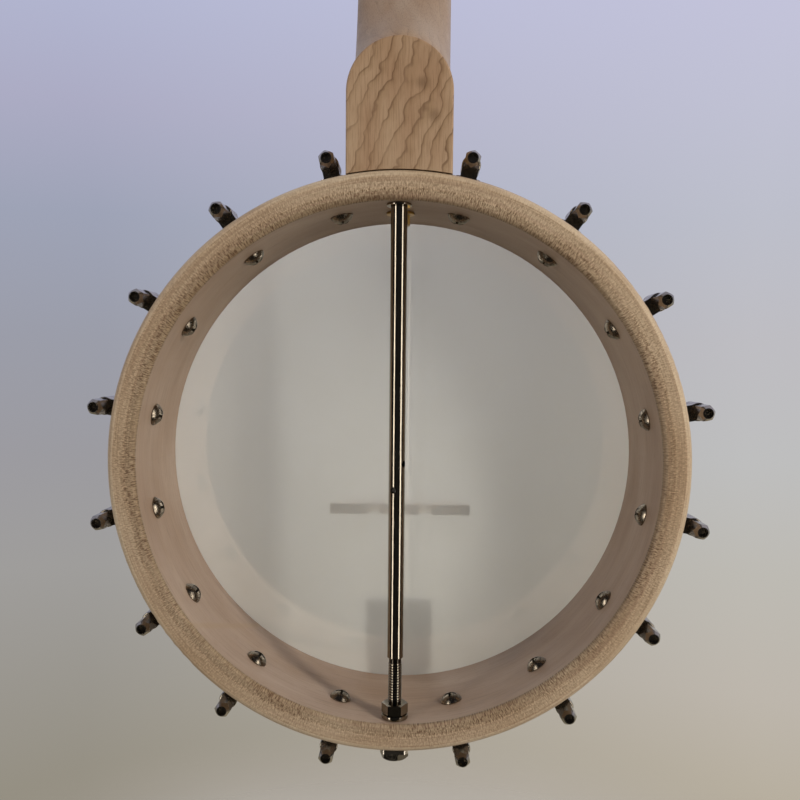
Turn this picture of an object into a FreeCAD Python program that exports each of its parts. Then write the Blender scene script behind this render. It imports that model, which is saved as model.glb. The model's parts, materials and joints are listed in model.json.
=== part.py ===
import FreeCAD, Part
import os
import re

import Sketcher
from FreeCAD import Placement, Rotation, Vector

# A five-string open-back banjo.
#
# The frame: +Z runs up the neck to the peghead, the strings face -Y and +X is on the right when the
# banjo is seen from the front. The origin is the middle of the top nut's pot-side edge, on the
# fingerboard's plane.
#
# The pot has a frame of its own: its origin is the middle of the rim's back face, its Y runs up the
# neck and its Z runs from the back face to the drum head. The bracket frame is the pot frame turned so
# that X points at the first bracket. The peghead frame lies in the peghead's face, with Y along it and
# Z out of it.

sizes = {
    # String length and the pot's place under it
    "scale_length": 666.75,
    "bridge_below_centre": 30.5,
    "head_drop": 9.1,  # drum head behind the fingerboard's plane
    # Rim
    "rim_radius": 139.7,
    "rim_wall": 13.85,
    "rim_depth": 70.0,
    "rim_back_round": 4.0,
    "rim_lip_round": 2.4,  # inner edge of the back face
    "rim_inner_round": 0.8,
    "bearing_round": 2.0,
    # Brackets: eight a side, with a wider gap at the neck and at the tail
    "brackets_per_side": 8,
    "neck_gap_angle": 13.2,
    "tail_gap_angle": 13.2,
    "screw_depth": 25.9,  # bracket screw from the rim's back face
    "screw_shank": 4.0,
    "screw_head": 11.2,
    "screw_head_height": 3.9,
    "screw_head_rim": 0.4,
    "screw_engagement": 4.2,
    "recess_span": 6.2,
    "recess_slot": 1.2,
    "recess_depth": 2.3,
    "hook_circle": 149.3,
    "hook_wire": 4.2,
    "hook_bend": 2.9,
    "hook_seat": 1.2,  # how far the hook's arm stops short of the hoop's inner face
    "shoe_width": 12.0,
    "shoe_height": 21.0,
    "shoe_plate": 2.8,
    "shoe_corner": 2.4,
    "shoe_web": 8.0,
    "shoe_lug_radius": 4.6,
    "shoe_lug_height": 15.0,
    "shoe_lug_round": 0.9,
    "hook_nut_flats": 7.14,
    "hook_nut_length": 14.0,
    "hook_nut_end": 4.3,  # nut's open end from the rim's back face
    "hook_nut_mouth": 2.55,
    "hook_nut_bevel": 1.7,
    "hook_thread_hidden": 3.6,  # hook's end lies this far inside the nut
    # Drum head and hoops
    "film_thickness": 0.25,
    "film_hem": 1.0,  # film's edge above the flesh hoop's low side
    "head_gap": 0.2,
    "head_crown": 12.0,
    "flesh_width": 4.2,
    "flesh_height": 5.0,
    "flesh_round": 0.9,
    "hoop_gap": 0.75,
    "hoop_wall": 5.7,
    "hoop_stand": 1.5,
    "hoop_round": 0.9,
    "notch_depth": 3.5,
    # Coordinator rod and the hardware on it
    "rod_depth": 10.5,
    "rod_diameter": 7.94,
    "rod_thread": 6.2,
    "rod_thread_start": 95.3,  # from the pot's centre, tailwards
    "rod_step": 0.9,
    "rod_bore_depth": 24.0,
    "cross_hole": 3.2,
    "cross_hole_down": 10.5,
    "cross_hole_up": 2.2,
    "cross_hole_turn": 27.0,  # from the pot's own directions, round the rod
    "neck_washer": 12.0,
    "washer_thickness": 1.2,
    "tail_nut_flats": 11.4,
    "tail_nut_height": 5.6,
    "tail_washer": 13.2,
    "tail_washer_thickness": 2.2,
    "cap_nut_flats": 12.6,
    "cap_nut_height": 3.8,
    "cap_nut_cover": 1.0,  # how far the rod stops short of the nut's outer face
    "lag_diameter": 5.8,
    "lag_reach": 31.0,  # into the heel, from the rim
    "lag_tip": 4.0,
    "lag_in_rod": 18.0,
    "upper_lag_depth": 34.0,
    "upper_washer": 14.0,
    "upper_nut_flats": 9.5,
    "upper_nut_height": 5.0,
    "stud_end": 1.6,
    "nut_chamfer": 0.6,  # how much smaller than its flats a nut's face is
    "nut_bevel": 0.8,  # rise of a nut's bevel over its run
    # Tailpiece and its bracket
    "strap_width": 14.0,
    "strap_thickness": 2.0,
    "strap_low": 3.0,
    "strap_bend_low": 43.0,
    "strap_bend_high": 52.0,
    "strap_top": 76.0,
    "strap_hoop_gap": 1.4,
    "strap_corner": 3.0,
    "tailpiece_width": 37.6,
    "tailpiece_rear_width": 22.0,
    "tailpiece_sheet": 1.8,
    "tailpiece_front": 83.5,  # from the pot's centre, tailwards
    "tailpiece_shoulder": 118.0,
    "tailpiece_front_top": 78.0,
    "tailpiece_rear_top": 80.0,
    "tailpiece_flange_low": 64.0,
    "tailpiece_screw_depth": 70.0,
    "tailpiece_screw_shank": 4.0,
    "tailpiece_screw_head": 7.0,
    "tailpiece_screw_head_height": 2.6,
    "anchor_from_centre": 113.0,
    "anchor_radius": 1.2,
    "anchor_height": 4.0,
    "anchor_spacing": 6.5,
    # Bridge
    "bridge_width": 78.0,
    "bridge_top_width": 61.0,
    "bridge_height": 15.9,
    "bridge_cap_height": 1.6,
    "bridge_foot_depth": 5.6,
    "bridge_top_depth": 2.8,
    "bridge_foot_width": 21.0,
    "bridge_foot_height": 2.6,
    "bridge_arch_side": 4.5,
    "bridge_arch_radius": 4.0,
    "bridge_shoulder": 10.0,
    "string_slot_depth": 0.5,
    "bridge_string_spacing": 10.8,
    # Neck
    "nut_width": 31.75,
    "board_pot_width": 50.0,
    "board_side": 6.5,
    "neck_depth_nut": 20.0,
    "neck_depth_pot": 24.5,
    "flare_start": 150.0,
    "flare_end": 158.0,
    "fifth_edge": 23.8,
    "rim_clearance": 0.12,
    "hoop_clearance": 0.9,
    "neck_step_gap": 1.0,  # neck's step under the flesh hoop
    "heel_reach": 199.4,  # heel cap's end from the pot's centre
    "heel_cap_width": 49.5,
    "heel_root_width": 47.2,
    "heel_foot_width": 49.8,  # at the rim, under the fingerboard
    "heel_inset": 1.5,
    "heel_sweep": 100.0,
    "heel_root": 8.0,
    "heel_edge_round": 1.0,
    "volute_length": 26.0,
    "volute_width": 27.0,
    "volute_depth": 20.6,
    # Top nut and fifth string's nut
    "nut_length": 5.0,
    "nut_stand": 2.4,
    "nut_seat": 3.0,
    "nut_string_height": 1.4,
    "nut_string_spacing": 8.27,
    "nut_slot": 0.9,
    "pip_from_nut": 163.0,
    "pip_offset": 20.9,
    "pip_radius": 1.6,
    "pip_stand": 2.9,
    "pip_seat": 5.0,
    "pip_slot": 0.6,
    "pip_string_height": 2.1,
    # Frets and dots
    "fret_count": 22,
    "fret_crown_width": 2.3,
    "fret_crown_height": 1.0,
    "fret_tang": 0.6,
    "fret_tang_depth": 1.4,
    "fret_slot_gap": 0.05,
    "fret_inset": 0.35,
    "dot_radius": 2.4,
    "dot_depth": 1.2,
    "dot_pair_offset": 8.0,
    "side_dot_radius": 1.1,
    "side_dot_depth": 1.0,
    "side_dot_down": 3.2,
    # Peghead
    "peghead_tilt": 13.0,
    "peghead_face": 0.8,
    "peghead_thickness": 14.5,
    "peghead_root_width": 32.6,
    "peghead_tenon": 4.0,  # how far the peghead's foot runs into the neck
    "peghead_neck": 12.0,
    "peghead_shoulder": 38.0,
    "peghead_shoulder_width": 58.0,
    "peghead_waist": 122.0,
    "peghead_waist_width": 55.0,
    "peghead_crown": 160.0,
    "peghead_crown_width": 63.0,
    "peghead_horn": 181.0,
    "peghead_horn_width": 42.0,
    "peghead_dip": 174.0,
    "peghead_corner": 7.0,
    # Geared tuners
    "tuner_offset": 15.0,
    "tuner_low": 48.0,
    "tuner_spacing": 56.0,
    "post_radius": 3.0,
    "post_waist": 2.5,
    "post_stand": 15.0,
    "post_waist_low": 7.0,
    "post_waist_high": 12.5,
    "post_hole": 0.8,
    "post_chamfer": 0.8,
    "running_gap": 0.06,
    "bushing_radius": 4.9,
    "bushing_length": 9.0,
    "bushing_collar": 6.6,
    "bushing_collar_height": 1.0,
    "bushing_flats": 10.0,
    "bushing_flats_height": 1.6,
    "housing_half_width": 8.5,
    "housing_below": 7.5,
    "housing_above": 12.0,
    "housing_height": 10.0,
    "housing_wall": 1.3,
    "housing_round": 1.6,
    "ear_length": 5.5,
    "ear_width": 7.0,
    "ear_thickness": 1.8,
    "ear_screw_radius": 1.1,
    "ear_screw_head": 2.3,
    "ear_screw_head_height": 1.2,
    "head_bevel": 0.7,
    "ear_screw_length": 9.0,
    "wheel_radius": 5.5,
    "wheel_height": 3.5,
    "wheel_teeth": 14,
    "tooth_depth": 0.7,
    "mesh_gap": 0.3,
    "worm_radius": 2.0,
    "worm_root": 1.4,
    "worm_half_length": 4.2,
    "gear_depth": 3.2,  # middle of the gears behind the peghead's back face
    "shaft_end": 27.0,  # from the post's axis
    "shaft_collar": 3.2,
    "shaft_collar_width": 1.6,
    "shaft_play": 0.3,
    "button_start": 17.5,
    "button_length": 13.5,
    "button_width": 16.0,
    "button_thickness": 8.0,
    "button_round": 2.6,
    # Geared fifth peg
    "peg_from_nut": 140.0,
    "peg_depth": 7.5,
    "peg_pin_radius": 4.0,
    "peg_pin_length": 12.0,
    "peg_seat": 18.9,
    "peg_flange_radius": 6.2,
    "peg_flange": 1.6,
    "peg_flange_bevel": 0.5,
    "peg_axle_radius": 2.0,
    "peg_gap": 0.3,
    "peg_post_length": 12.0,
    "peg_post_end_radius": 4.8,
    "peg_post_waist": 3.2,
    "peg_post_end": 2.5,
    "peg_post_slope": 1.0,
    "peg_button_hub": 5.6,
    "peg_button_length": 17.0,
    "peg_hub_length": 7.0,
    "peg_button_wall": 3.5,
    # Strings
    "string_1_gauge": 0.254,
    "string_2_gauge": 0.305,
    "string_3_gauge": 0.406,
    "string_4_gauge": 0.584,
    "string_5_gauge": 0.254,
    "winding_turns": 3,
    "winding_height": 10.2,
    "winding_start": 1.5,  # first turn below the string, in gauges
    # Gaps and plays
    "seat_gap": 0.1,  # between pieces that touch
    "touch_gap": 0.02,  # between pieces pressed or wound on each other
    "hole_play": 0.4,  # round a bolt in its through hole
    "hook_play": 0.3,
    "overcut": 2.0,  # how far a cutting shape runs past a face
    "overrun": 30.0,  # how far the neck's blank runs into the pot before it is cut
}

# Lengths that follow from the sizes, as formulas in the same words.
derived = {
    "pot_drop": "scale_length - bridge_below_centre",
    "back_plane": "head_drop + rim_depth",
    "rim_inner": "rim_radius - rim_wall",
    "bracket_step": "(180 - neck_gap_angle - tail_gap_angle) / (brackets_per_side - 1)",
    "far_side_turn": "bracket_step * (brackets_per_side - 1) + 2 * tail_gap_angle",
    "film_inner": "rim_radius + head_gap",
    "film_outer": "film_inner + film_thickness",
    "film_top": "rim_depth + film_thickness",
    "flesh_inner": "film_outer + seat_gap / 2",
    "flesh_outer": "flesh_inner + flesh_width",
    "flesh_top": "rim_depth - head_crown",
    "flesh_low": "flesh_top - flesh_height",
    "hoop_inner": "film_outer + hoop_gap",
    "hoop_outer": "hoop_inner + hoop_wall",
    "hoop_top": "rim_depth + hoop_stand",
    "notch_floor": "hoop_top - notch_depth",
    "arm_height": "notch_floor + hook_wire / 2 + seat_gap / 2",
    "shoe_inner": "rim_radius + seat_gap",
    "shoe_face": "shoe_inner + shoe_plate",
    "hook_nut_top": "hook_nut_end + hook_nut_length",
    "lug_low": "hook_nut_top + seat_gap",
    "wall_seat": "sqrt(rim_inner ^ 2 - (neck_washer / 2) ^ 2) - seat_gap",
    "rod_neck_end": "wall_seat - washer_thickness - seat_gap",
    "upper_seat": "sqrt(rim_inner ^ 2 - (upper_washer / 2) ^ 2) - seat_gap",
    "tail_seat": "sqrt(rim_inner ^ 2 - (tail_washer / 2) ^ 2) - seat_gap",
    "tail_nut_seat": "tail_seat - tail_washer_thickness - seat_gap",
    "strap_inner": "rim_radius + seat_gap",
    "strap_outer": "strap_inner + strap_thickness",
    "strap_upper_inner": "hoop_outer + strap_hoop_gap",
    "strap_upper_outer": "strap_upper_inner + strap_thickness",
    "strap_lean": "atan((strap_upper_inner - strap_inner) / (strap_bend_high - strap_bend_low))",
    "flange_inner": "strap_upper_outer + seat_gap",
    "flange_outer": "flange_inner + tailpiece_sheet",
    "cap_nut_seat": "strap_outer + seat_gap",
    "rod_tail_end": "cap_nut_seat + cap_nut_height - cap_nut_cover",
    "anchor_top": "tailpiece_front_top + (tailpiece_rear_top - tailpiece_front_top)"
                  " * (anchor_from_centre - tailpiece_front) / (flange_outer - tailpiece_front)",
    "bridge_foot": "film_top + seat_gap / 2",
    "bridge_wood_top": "bridge_foot + bridge_height - bridge_cap_height",
    "cap_low": "bridge_wood_top + touch_gap",
    "cap_top": "cap_low + bridge_cap_height",
    "board_length": "pot_drop - hoop_outer - hoop_clearance",
    "nut_half": "nut_width / 2",
    "pot_half": "board_pot_width / 2",
    "heel_cap": "back_plane - heel_inset",
    "worm_offset": "wheel_radius + worm_radius + mesh_gap",
    "gear_level": "-peghead_thickness - gear_depth",
    "volute_front": "peghead_face + (volute_length - nut_length) * tan(peghead_tilt)",
    "housing_seat": "-peghead_thickness - seat_gap",
    "housing_back": "housing_seat - housing_height",
    "peg_post_start": "peg_seat + peg_flange + peg_gap",
    "peg_post_finish": "peg_post_start + peg_post_length",
    "peg_button_start": "peg_post_finish + peg_gap",
}

doc = FreeCAD.newDocument("Banjo")
sheet = doc.addObject("Spreadsheet::Sheet", "Sizes")
for row, (alias, size) in enumerate(sizes.items(), start=1):
    sheet.set("A%d" % row, alias)
    sheet.set("B%d" % row, str(size))
    sheet.setAlias("B%d" % row, alias)
doc.recompute()


def formula(text):
    """The expression for a text written in the words above."""
    def cell(match):
        word = match.group(0)
        if word in derived:
            return "(" + formula(derived[word]) + ")"
        if word in sizes:
            return "Sizes." + word
        return word
    return re.sub(r"[a-z_][a-z_0-9]*", cell, str(text))


def number(text):
    """The present value of a formula."""
    return float(sheet.evalExpression(formula(text)))


def bind(thing, prop, text):
    thing.setExpression(prop, formula(text))


# ---- Frames ----

POT = "placement(vector(0; back_plane; -pot_drop); rotation(vector(1; 0; 0); 90))"
BRACKETS = POT + " * placement(vector(0; 0; 0); rotation(vector(0; 0; 1); 90 - neck_gap_angle))"
PEGHEAD = "placement(vector(0; peghead_face; nut_length); rotation(vector(1; 0; 0); 90 - peghead_tilt))"


def shifted(frame, x, y, z, axis="0; 0; 1", angle="0"):
    """A frame moved to a point of another frame and turned there."""
    step = "placement(vector(%s; %s; %s); rotation(vector(%s); %s))" % (x, y, z, axis, angle)
    return step if frame is None else frame + " * " + step


# ---- Bodies, sketches and features ----

def new_body(label, frame=None):
    body = doc.addObject("PartDesign::Body", label)
    body.Label = label
    body.AllowCompound = True
    if frame:
        bind(body, "Placement", frame)
    return body


def origin_item(body, role):
    return next(item for item in body.Origin.OriginFeatures if item.Role == role)


def new_sketch(body, plane, x="0", y="0", z="0", axis="0; 0; 1", angle="0"):
    """A sketch on one of the body's planes, moved and turned in that plane's own axes."""
    sketch = body.newObject("Sketcher::SketchObject", body.Label + "_sketch")
    sketch.AttachmentSupport = [(origin_item(body, plane), "")]
    sketch.MapMode = "FlatFace"
    bind(sketch, "AttachmentOffset", shifted(None, x, y, z, axis, angle))
    return sketch


def arc_between(start, end, radius, turn):
    """The shorter arc from start to end; turn is 1 anticlockwise and -1 clockwise."""
    chord = end - start
    rise = max(radius ** 2 - (chord.Length / 2) ** 2, 0) ** 0.5
    side = Vector(-chord.y, chord.x, 0).normalize() * turn
    centre = start + chord / 2 + side * rise
    first, last = (start, end) if turn > 0 else (end, start)
    circle = Part.Circle(centre, Vector(0, 0, 1), radius)
    return Part.ArcOfCircle(circle, circle.parameter(first), circle.parameter(last))


def draw(sketch, points, closed=True):
    """Straight edges from point to point; a point (x, y, radius, turn) starts an arc instead."""
    corners = [Vector(number(point[0]), number(point[1]), 0) for point in points]
    edges = len(points) if closed else len(points) - 1
    ends = []
    for index in range(edges):
        start, end, spec = corners[index], corners[(index + 1) % len(points)], points[index]
        if len(spec) == 2:
            edge = sketch.addGeometry(Part.LineSegment(start, end), False)
            ends.append((edge, 1, 2))
            continue
        edge = sketch.addGeometry(arc_between(start, end, number(spec[2]), spec[3]), False)
        ends.append((edge, 1, 2) if spec[3] > 0 else (edge, 2, 1))
        index_radius = sketch.addConstraint(Sketcher.Constraint("Radius", edge, number(spec[2])))
        bind(sketch, "Constraints[%d]" % index_radius, spec[2])
    for index, corner in enumerate(corners):
        edge, vertex = (ends[index][0], ends[index][1]) if index < edges else (ends[-1][0], ends[-1][2])
        if 0 < index < edges or (closed and index == 0):
            before = ends[index - 1]
            sketch.addConstraint(Sketcher.Constraint("Coincident", before[0], before[2], edge, vertex))
        for kind, value, text in (("DistanceX", corner.x, points[index][0]),
                                  ("DistanceY", corner.y, points[index][1])):
            place = sketch.addConstraint(Sketcher.Constraint(kind, -1, 1, edge, vertex, value))
            bind(sketch, "Constraints[%d]" % place, text)


def circle(sketch, x, y, radius):
    centre = Vector(number(x), number(y), 0)
    edge = sketch.addGeometry(Part.Circle(centre, Vector(0, 0, 1), number(radius)), False)
    for kind, where, text in (("Radius", (edge,), radius), ("DistanceX", (-1, 1, edge, 3), x),
                              ("DistanceY", (-1, 1, edge, 3), y)):
        place = sketch.addConstraint(Sketcher.Constraint(kind, *where, number(text)))
        bind(sketch, "Constraints[%d]" % place, text)


def box(left, low, right, high):
    return [(left, low), (right, low), (right, high), (left, high)]


def hexagon(x, y, flats, turn="0"):
    """Six corners round a point; with no turn two flats lie across the sketch's Y."""
    reach = "%s / 2 / cos(30)" % flats
    return [("%s + %s * cos(%d + %s)" % (x, reach, 60 * k, turn),
             "%s + %s * sin(%d + %s)" % (y, reach, 60 * k, turn)) for k in range(6)]


def feature(body, kind, sketch, length=None, **options):
    """Pad, Pocket, Revolution or Groove of a sketch; length is a formula."""
    item = body.newObject("PartDesign::" + kind, body.Label + "_" + kind.lower())
    item.Profile = sketch
    for name, option in options.items():
        setattr(item, name, option)
    if length is not None:
        bind(item, "Length", length)
    sketch.Visibility = False
    doc.recompute()
    return item


def pad(body, sketch, length, **options):
    return feature(body, "Pad", sketch, length, **options)


def pocket(body, sketch, length, **options):
    return cutting(body, "Pocket", sketch, length, **options)


def pocket_through(body, sketch):
    return cutting(body, "Pocket", sketch, None, SideType="Symmetric", Type="ThroughAll")


def groove(body, sketch, axis="V_Axis"):
    return cutting(body, "Groove", sketch, None, ReferenceAxis=(sketch, [axis]))


def cutting(body, kind, sketch, length, **options):
    """A cut, which has to take something away."""
    before = body.Shape.Volume
    item = feature(body, kind, sketch, length, **options)
    if not body.Shape.Volume < before - 1e-6:
        raise RuntimeError("%s cuts nothing from %s" % (kind, body.Label))
    return item


def revolve(body, sketch, axis="V_Axis"):
    return feature(body, "Revolution", sketch, ReferenceAxis=(sketch, [axis]))


def soften(body, kind, prop, size, chosen):
    """Fillet or Chamfer of the edges of the body's shape that the test chooses."""
    base = body.Tip
    names = ["Edge%d" % (n + 1) for n, edge in enumerate(base.Shape.Edges) if chosen(edge)]
    if not names:
        raise RuntimeError("no edge to soften on " + body.Label)
    item = body.newObject("PartDesign::" + kind, body.Label + "_" + kind.lower())
    item.Base = (base, names)
    bind(item, prop, size)
    doc.recompute()
    if not item.isValid():
        raise RuntimeError("%s of %s failed" % (kind, body.Label))
    return item


def fillet(body, radius, chosen):
    return soften(body, "Fillet", "Radius", radius, chosen)


def chamfer(body, size, chosen):
    return soften(body, "Chamfer", "Size", size, chosen)


def ring_at(*pairs):
    """Chooses circles of a radius at a height, both formulas."""
    wanted = [(number(radius), number(height)) for radius, height in pairs]

    def chosen(edge):
        curve = edge.Curve
        if not isinstance(curve, Part.Circle):
            return False
        return any(abs(curve.Radius - r) < 1e-4 and abs(curve.Center.z - z) < 1e-4 for r, z in wanted)
    return chosen


def straight_along(axis, *tests):
    """Chooses straight edges along an axis whose middle passes every test."""
    def chosen(edge):
        if not isinstance(edge.Curve, Part.Line):
            return False
        along = abs(edge.Curve.Direction.dot(axis)) > 0.999
        return along and all(test(edge.CenterOfMass) for test in tests)
    return chosen


def pattern(body, kind, **options):
    item = body.newObject("PartDesign::" + kind, body.Label + "_" + kind.lower())
    item.TransformMode = "Whole shape"
    for name, option in options.items():
        setattr(item, name, option)
    body.Tip = item
    return item


def round_the_rim(body):
    """Repeats one bracket's piece for all the brackets of both sides."""
    axis = (origin_item(body, "Z_Axis"), [""])
    side = pattern(body, "PolarPattern", Axis=axis, Mode="Spacing", Reversed=True)
    bind(side, "Offset", "bracket_step")
    bind(side, "Occurrences", "brackets_per_side")
    doc.recompute()
    both = pattern(body, "PolarPattern", Axis=axis, Mode="Spacing", Reversed=True, Occurrences=2)
    bind(both, "Offset", "far_side_turn")
    doc.recompute()


def on_each_tuner(body):
    """Repeats a lower right tuner's piece for the other three tuners."""
    line = (origin_item(body, "Y_Axis"), [""])
    pair = pattern(body, "LinearPattern", Direction=line, Mode="Spacing", Occurrences=2)
    bind(pair, "Offset", "tuner_spacing")
    doc.recompute()
    pattern(body, "Mirrored", MirrorPlane=(origin_item(body, "YZ_Plane"), [""]))
    doc.recompute()


def new_cylinder(name, radius, height, frame):
    tube = doc.addObject("Part::Cylinder", name)
    bind(tube, "Radius", radius)
    bind(tube, "Height", height)
    bind(tube, "Placement", frame)
    return tube


def new_cut(label, base, tools):
    """The base without the tools."""
    group = doc.addObject("Part::Compound", label + "_tools")
    group.Links = tools
    item = doc.addObject("Part::Cut", label)
    item.Label = label
    item.Base = base
    item.Tool = group
    doc.recompute()
    return item


parts = []


def keep(item, label=None):
    """Marks an object as a piece of the banjo."""
    if label:
        item.Label = label
    parts.append(item)
    return item


# ---- Pot ----

def along_pot_y(x, y, z):
    """A cylinder's frame that starts at a point of the pot and runs up the neck."""
    return shifted(POT, x, y, z, "1; 0; 0", "-90")


def make_rim():
    ring = new_body("rim_ring", POT)
    sketch = new_sketch(ring, "XZ_Plane")
    draw(sketch, box("rim_inner", "0", "rim_radius", "rim_depth"))
    revolve(ring, sketch)
    fillet(ring, "rim_back_round", ring_at(("rim_radius", "0")))
    fillet(ring, "rim_lip_round", ring_at(("rim_inner", "0")))
    fillet(ring, "rim_inner_round", ring_at(("rim_inner", "rim_depth")))
    fillet(ring, "bearing_round", ring_at(("rim_radius", "rim_depth")))

    holes = new_body("bracket_holes", BRACKETS)
    sketch = new_sketch(holes, "YZ_Plane", z="rim_inner - overcut")
    circle(sketch, "0", "screw_depth", "screw_shank / 2 + 2 * seat_gap")
    pad(holes, sketch, "rim_wall + 2 * overcut")
    round_the_rim(holes)

    through = "rim_wall + 2 * overcut"
    bore = "lag_diameter / 2 + hole_play"
    tools = [holes]
    for name, height in (("lower_lag_hole", "rod_depth"), ("upper_lag_hole", "upper_lag_depth")):
        tools.append(new_cylinder(name, bore, through, along_pot_y("0", "rim_inner - overcut", height)))
    tail = along_pot_y("0", "-rim_radius - overcut", "rod_depth")
    tools.append(new_cylinder("tail_hole", "rod_thread / 2 + hole_play", through, tail))
    keep(new_cut("rim", ring, tools))


def make_head():
    film = keep(new_body("drum_head", POT))
    sketch = new_sketch(film, "XZ_Plane")
    draw(sketch, [("0", "rim_depth"), ("film_inner", "rim_depth"), ("film_inner", "flesh_low + film_hem"),
                  ("film_outer", "flesh_low + film_hem"), ("film_outer", "film_top"), ("0", "film_top")])
    revolve(film, sketch)
    fillet(film, "bearing_round + film_thickness", ring_at(("film_outer", "film_top")))
    fillet(film, "bearing_round", ring_at(("film_inner", "rim_depth")))

    flesh = keep(new_body("flesh_hoop", POT))
    sketch = new_sketch(flesh, "XZ_Plane")
    draw(sketch, box("flesh_inner", "flesh_low", "flesh_outer", "flesh_top"))
    revolve(flesh, sketch)
    fillet(flesh, "flesh_round", ring_at(("flesh_outer", "flesh_low"), ("flesh_outer", "flesh_top")))

    hoop = new_body("hoop_ring", POT)
    sketch = new_sketch(hoop, "XZ_Plane")
    draw(sketch, box("hoop_inner", "flesh_top + seat_gap", "hoop_outer", "hoop_top"))
    revolve(hoop, sketch)
    fillet(hoop, "hoop_round", ring_at(("hoop_outer", "flesh_top + seat_gap"), ("hoop_outer", "hoop_top"),
                                       ("hoop_inner", "hoop_top")))
    notches = new_body("hoop_notches", BRACKETS)
    sketch = new_sketch(notches, "YZ_Plane", z="hoop_inner - overcut")
    half = "(hook_wire / 2 + hole_play)"
    draw(sketch, box("-" + half, "notch_floor", half, "hoop_top + overcut"))
    pad(notches, sketch, "hoop_wall + 2 * overcut")
    round_the_rim(notches)
    keep(new_cut("tension_hoop", hoop, [notches]))


def make_shoes():
    shoes = keep(new_body("bracket_shoes", BRACKETS))
    sketch = new_sketch(shoes, "XY_Plane", z="screw_depth - shoe_height / 2")
    draw(sketch, box("shoe_inner", "-shoe_width / 2", "shoe_face", "shoe_width / 2"))
    pad(shoes, sketch, "shoe_height")
    fillet(shoes, "shoe_corner", straight_along(Vector(1, 0, 0)))
    sketch = new_sketch(shoes, "XY_Plane", z="lug_low")
    circle(sketch, "hook_circle", "0", "shoe_lug_radius")
    pad(shoes, sketch, "shoe_lug_height")
    fillet(shoes, "shoe_lug_round", ring_at(("shoe_lug_radius", "lug_low"),
                                            ("shoe_lug_radius", "lug_low + shoe_lug_height")))
    sketch = new_sketch(shoes, "XY_Plane", z="lug_low")
    draw(sketch, box("shoe_inner", "-shoe_web / 2", "hook_circle", "shoe_web / 2"))
    pad(shoes, sketch, "shoe_lug_height")
    sketch = new_sketch(shoes, "XY_Plane", z="lug_low")
    circle(sketch, "hook_circle", "0", "hook_wire / 2 + hook_play")
    pocket_through(shoes, sketch)
    sketch = new_sketch(shoes, "YZ_Plane", z="shoe_inner")
    circle(sketch, "0", "screw_depth", "screw_shank / 2 + seat_gap / 2")
    pocket(shoes, sketch, "screw_engagement + hole_play", Reversed=True)
    round_the_rim(shoes)


def make_shoe_screws():
    screws = keep(new_body("shoe_screws", BRACKETS))
    sketch = new_sketch(screws, "XZ_Plane", y="screw_depth")
    seat = "sqrt(rim_inner ^ 2 - (screw_head / 2) ^ 2) - seat_gap / 2"
    dome = "(screw_head_height - screw_head_rim)"
    draw(sketch, [("%s - screw_head_height" % seat, "0"), ("shoe_inner + screw_engagement", "0"),
                  ("shoe_inner + screw_engagement", "screw_shank / 2"), (seat, "screw_shank / 2"),
                  (seat, "screw_head / 2"),
                  ("%s - screw_head_rim" % seat, "screw_head / 2",
                   "((screw_head / 2) ^ 2 + %s ^ 2) / (2 * %s)" % (dome, dome), 1)])
    revolve(screws, sketch, "H_Axis")
    sketch = new_sketch(screws, "YZ_Plane", y="screw_depth", z="%s - screw_head_height" % seat)
    reach, half = "recess_span / 2", "recess_slot / 2"
    corners = [(reach, half), (half, half), (half, reach)]
    turned = [(x, y) for x, y in corners]
    turned += [("-" + y, x) for x, y in corners]
    turned += [("-" + x, "-" + y) for x, y in corners]
    turned += [(y, "-" + x) for x, y in corners]
    draw(sketch, turned)
    pocket(screws, sketch, "recess_depth", Reversed=True)
    round_the_rim(screws)


def make_hooks():
    hooks = keep(new_body("tension_hooks", BRACKETS))
    low = "hook_nut_end + hook_thread_hidden"
    path = new_sketch(hooks, "XZ_Plane")
    draw(path, [("hook_circle", low), ("hook_circle", "arm_height - hook_bend", "hook_bend", 1),
                ("hook_circle - hook_bend", "arm_height"), ("hoop_inner + hook_seat", "arm_height")],
         closed=False)
    section = new_sketch(hooks, "XY_Plane", z=low)
    circle(section, "hook_circle", "0", "hook_wire / 2")
    pipe = hooks.newObject("PartDesign::AdditivePipe", "hook_pipe")
    pipe.Profile = section
    pipe.Spine = path
    doc.recompute()
    round_the_rim(hooks)


def hex_nut(body, x, low, flats, height, bore, mouth, turn="0", bevel="nut_bevel"):
    """A hexagon nut along Z with both ends turned down, the lower one to the mouth's radius."""
    sketch = new_sketch(body, "XY_Plane", z=low)
    draw(sketch, hexagon(x, "0", flats, turn))
    pad(body, sketch, height)
    if bore:
        sketch = new_sketch(body, "XY_Plane", z=low)
        circle(sketch, x, "0", bore)
        pocket_through(body, sketch)
    corner = "(%s / 2 / cos(30) + overcut / 4)" % flats
    for end, side, radius in ((low, 1, mouth), ("%s + %s" % (low, height), -1, "%s / 2" % flats)):
        sketch = new_sketch(body, "XZ_Plane", x=x, y=end)
        slope = "%d * (%s - %s) * %s" % (side, corner, radius, bevel)
        points = [(radius, "0"), (corner, "0"), (corner, slope)]
        draw(sketch, points if side > 0 else points[::-1])
        groove(body, sketch)


def make_hook_nuts():
    nuts = keep(new_body("hook_nuts", BRACKETS))
    bore = "hook_wire / 2 + seat_gap / 2"
    hex_nut(nuts, "hook_circle", "hook_nut_end", "hook_nut_flats", "hook_nut_length", bore,
            "hook_nut_mouth", bevel="hook_nut_bevel")
    round_the_rim(nuts)


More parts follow.
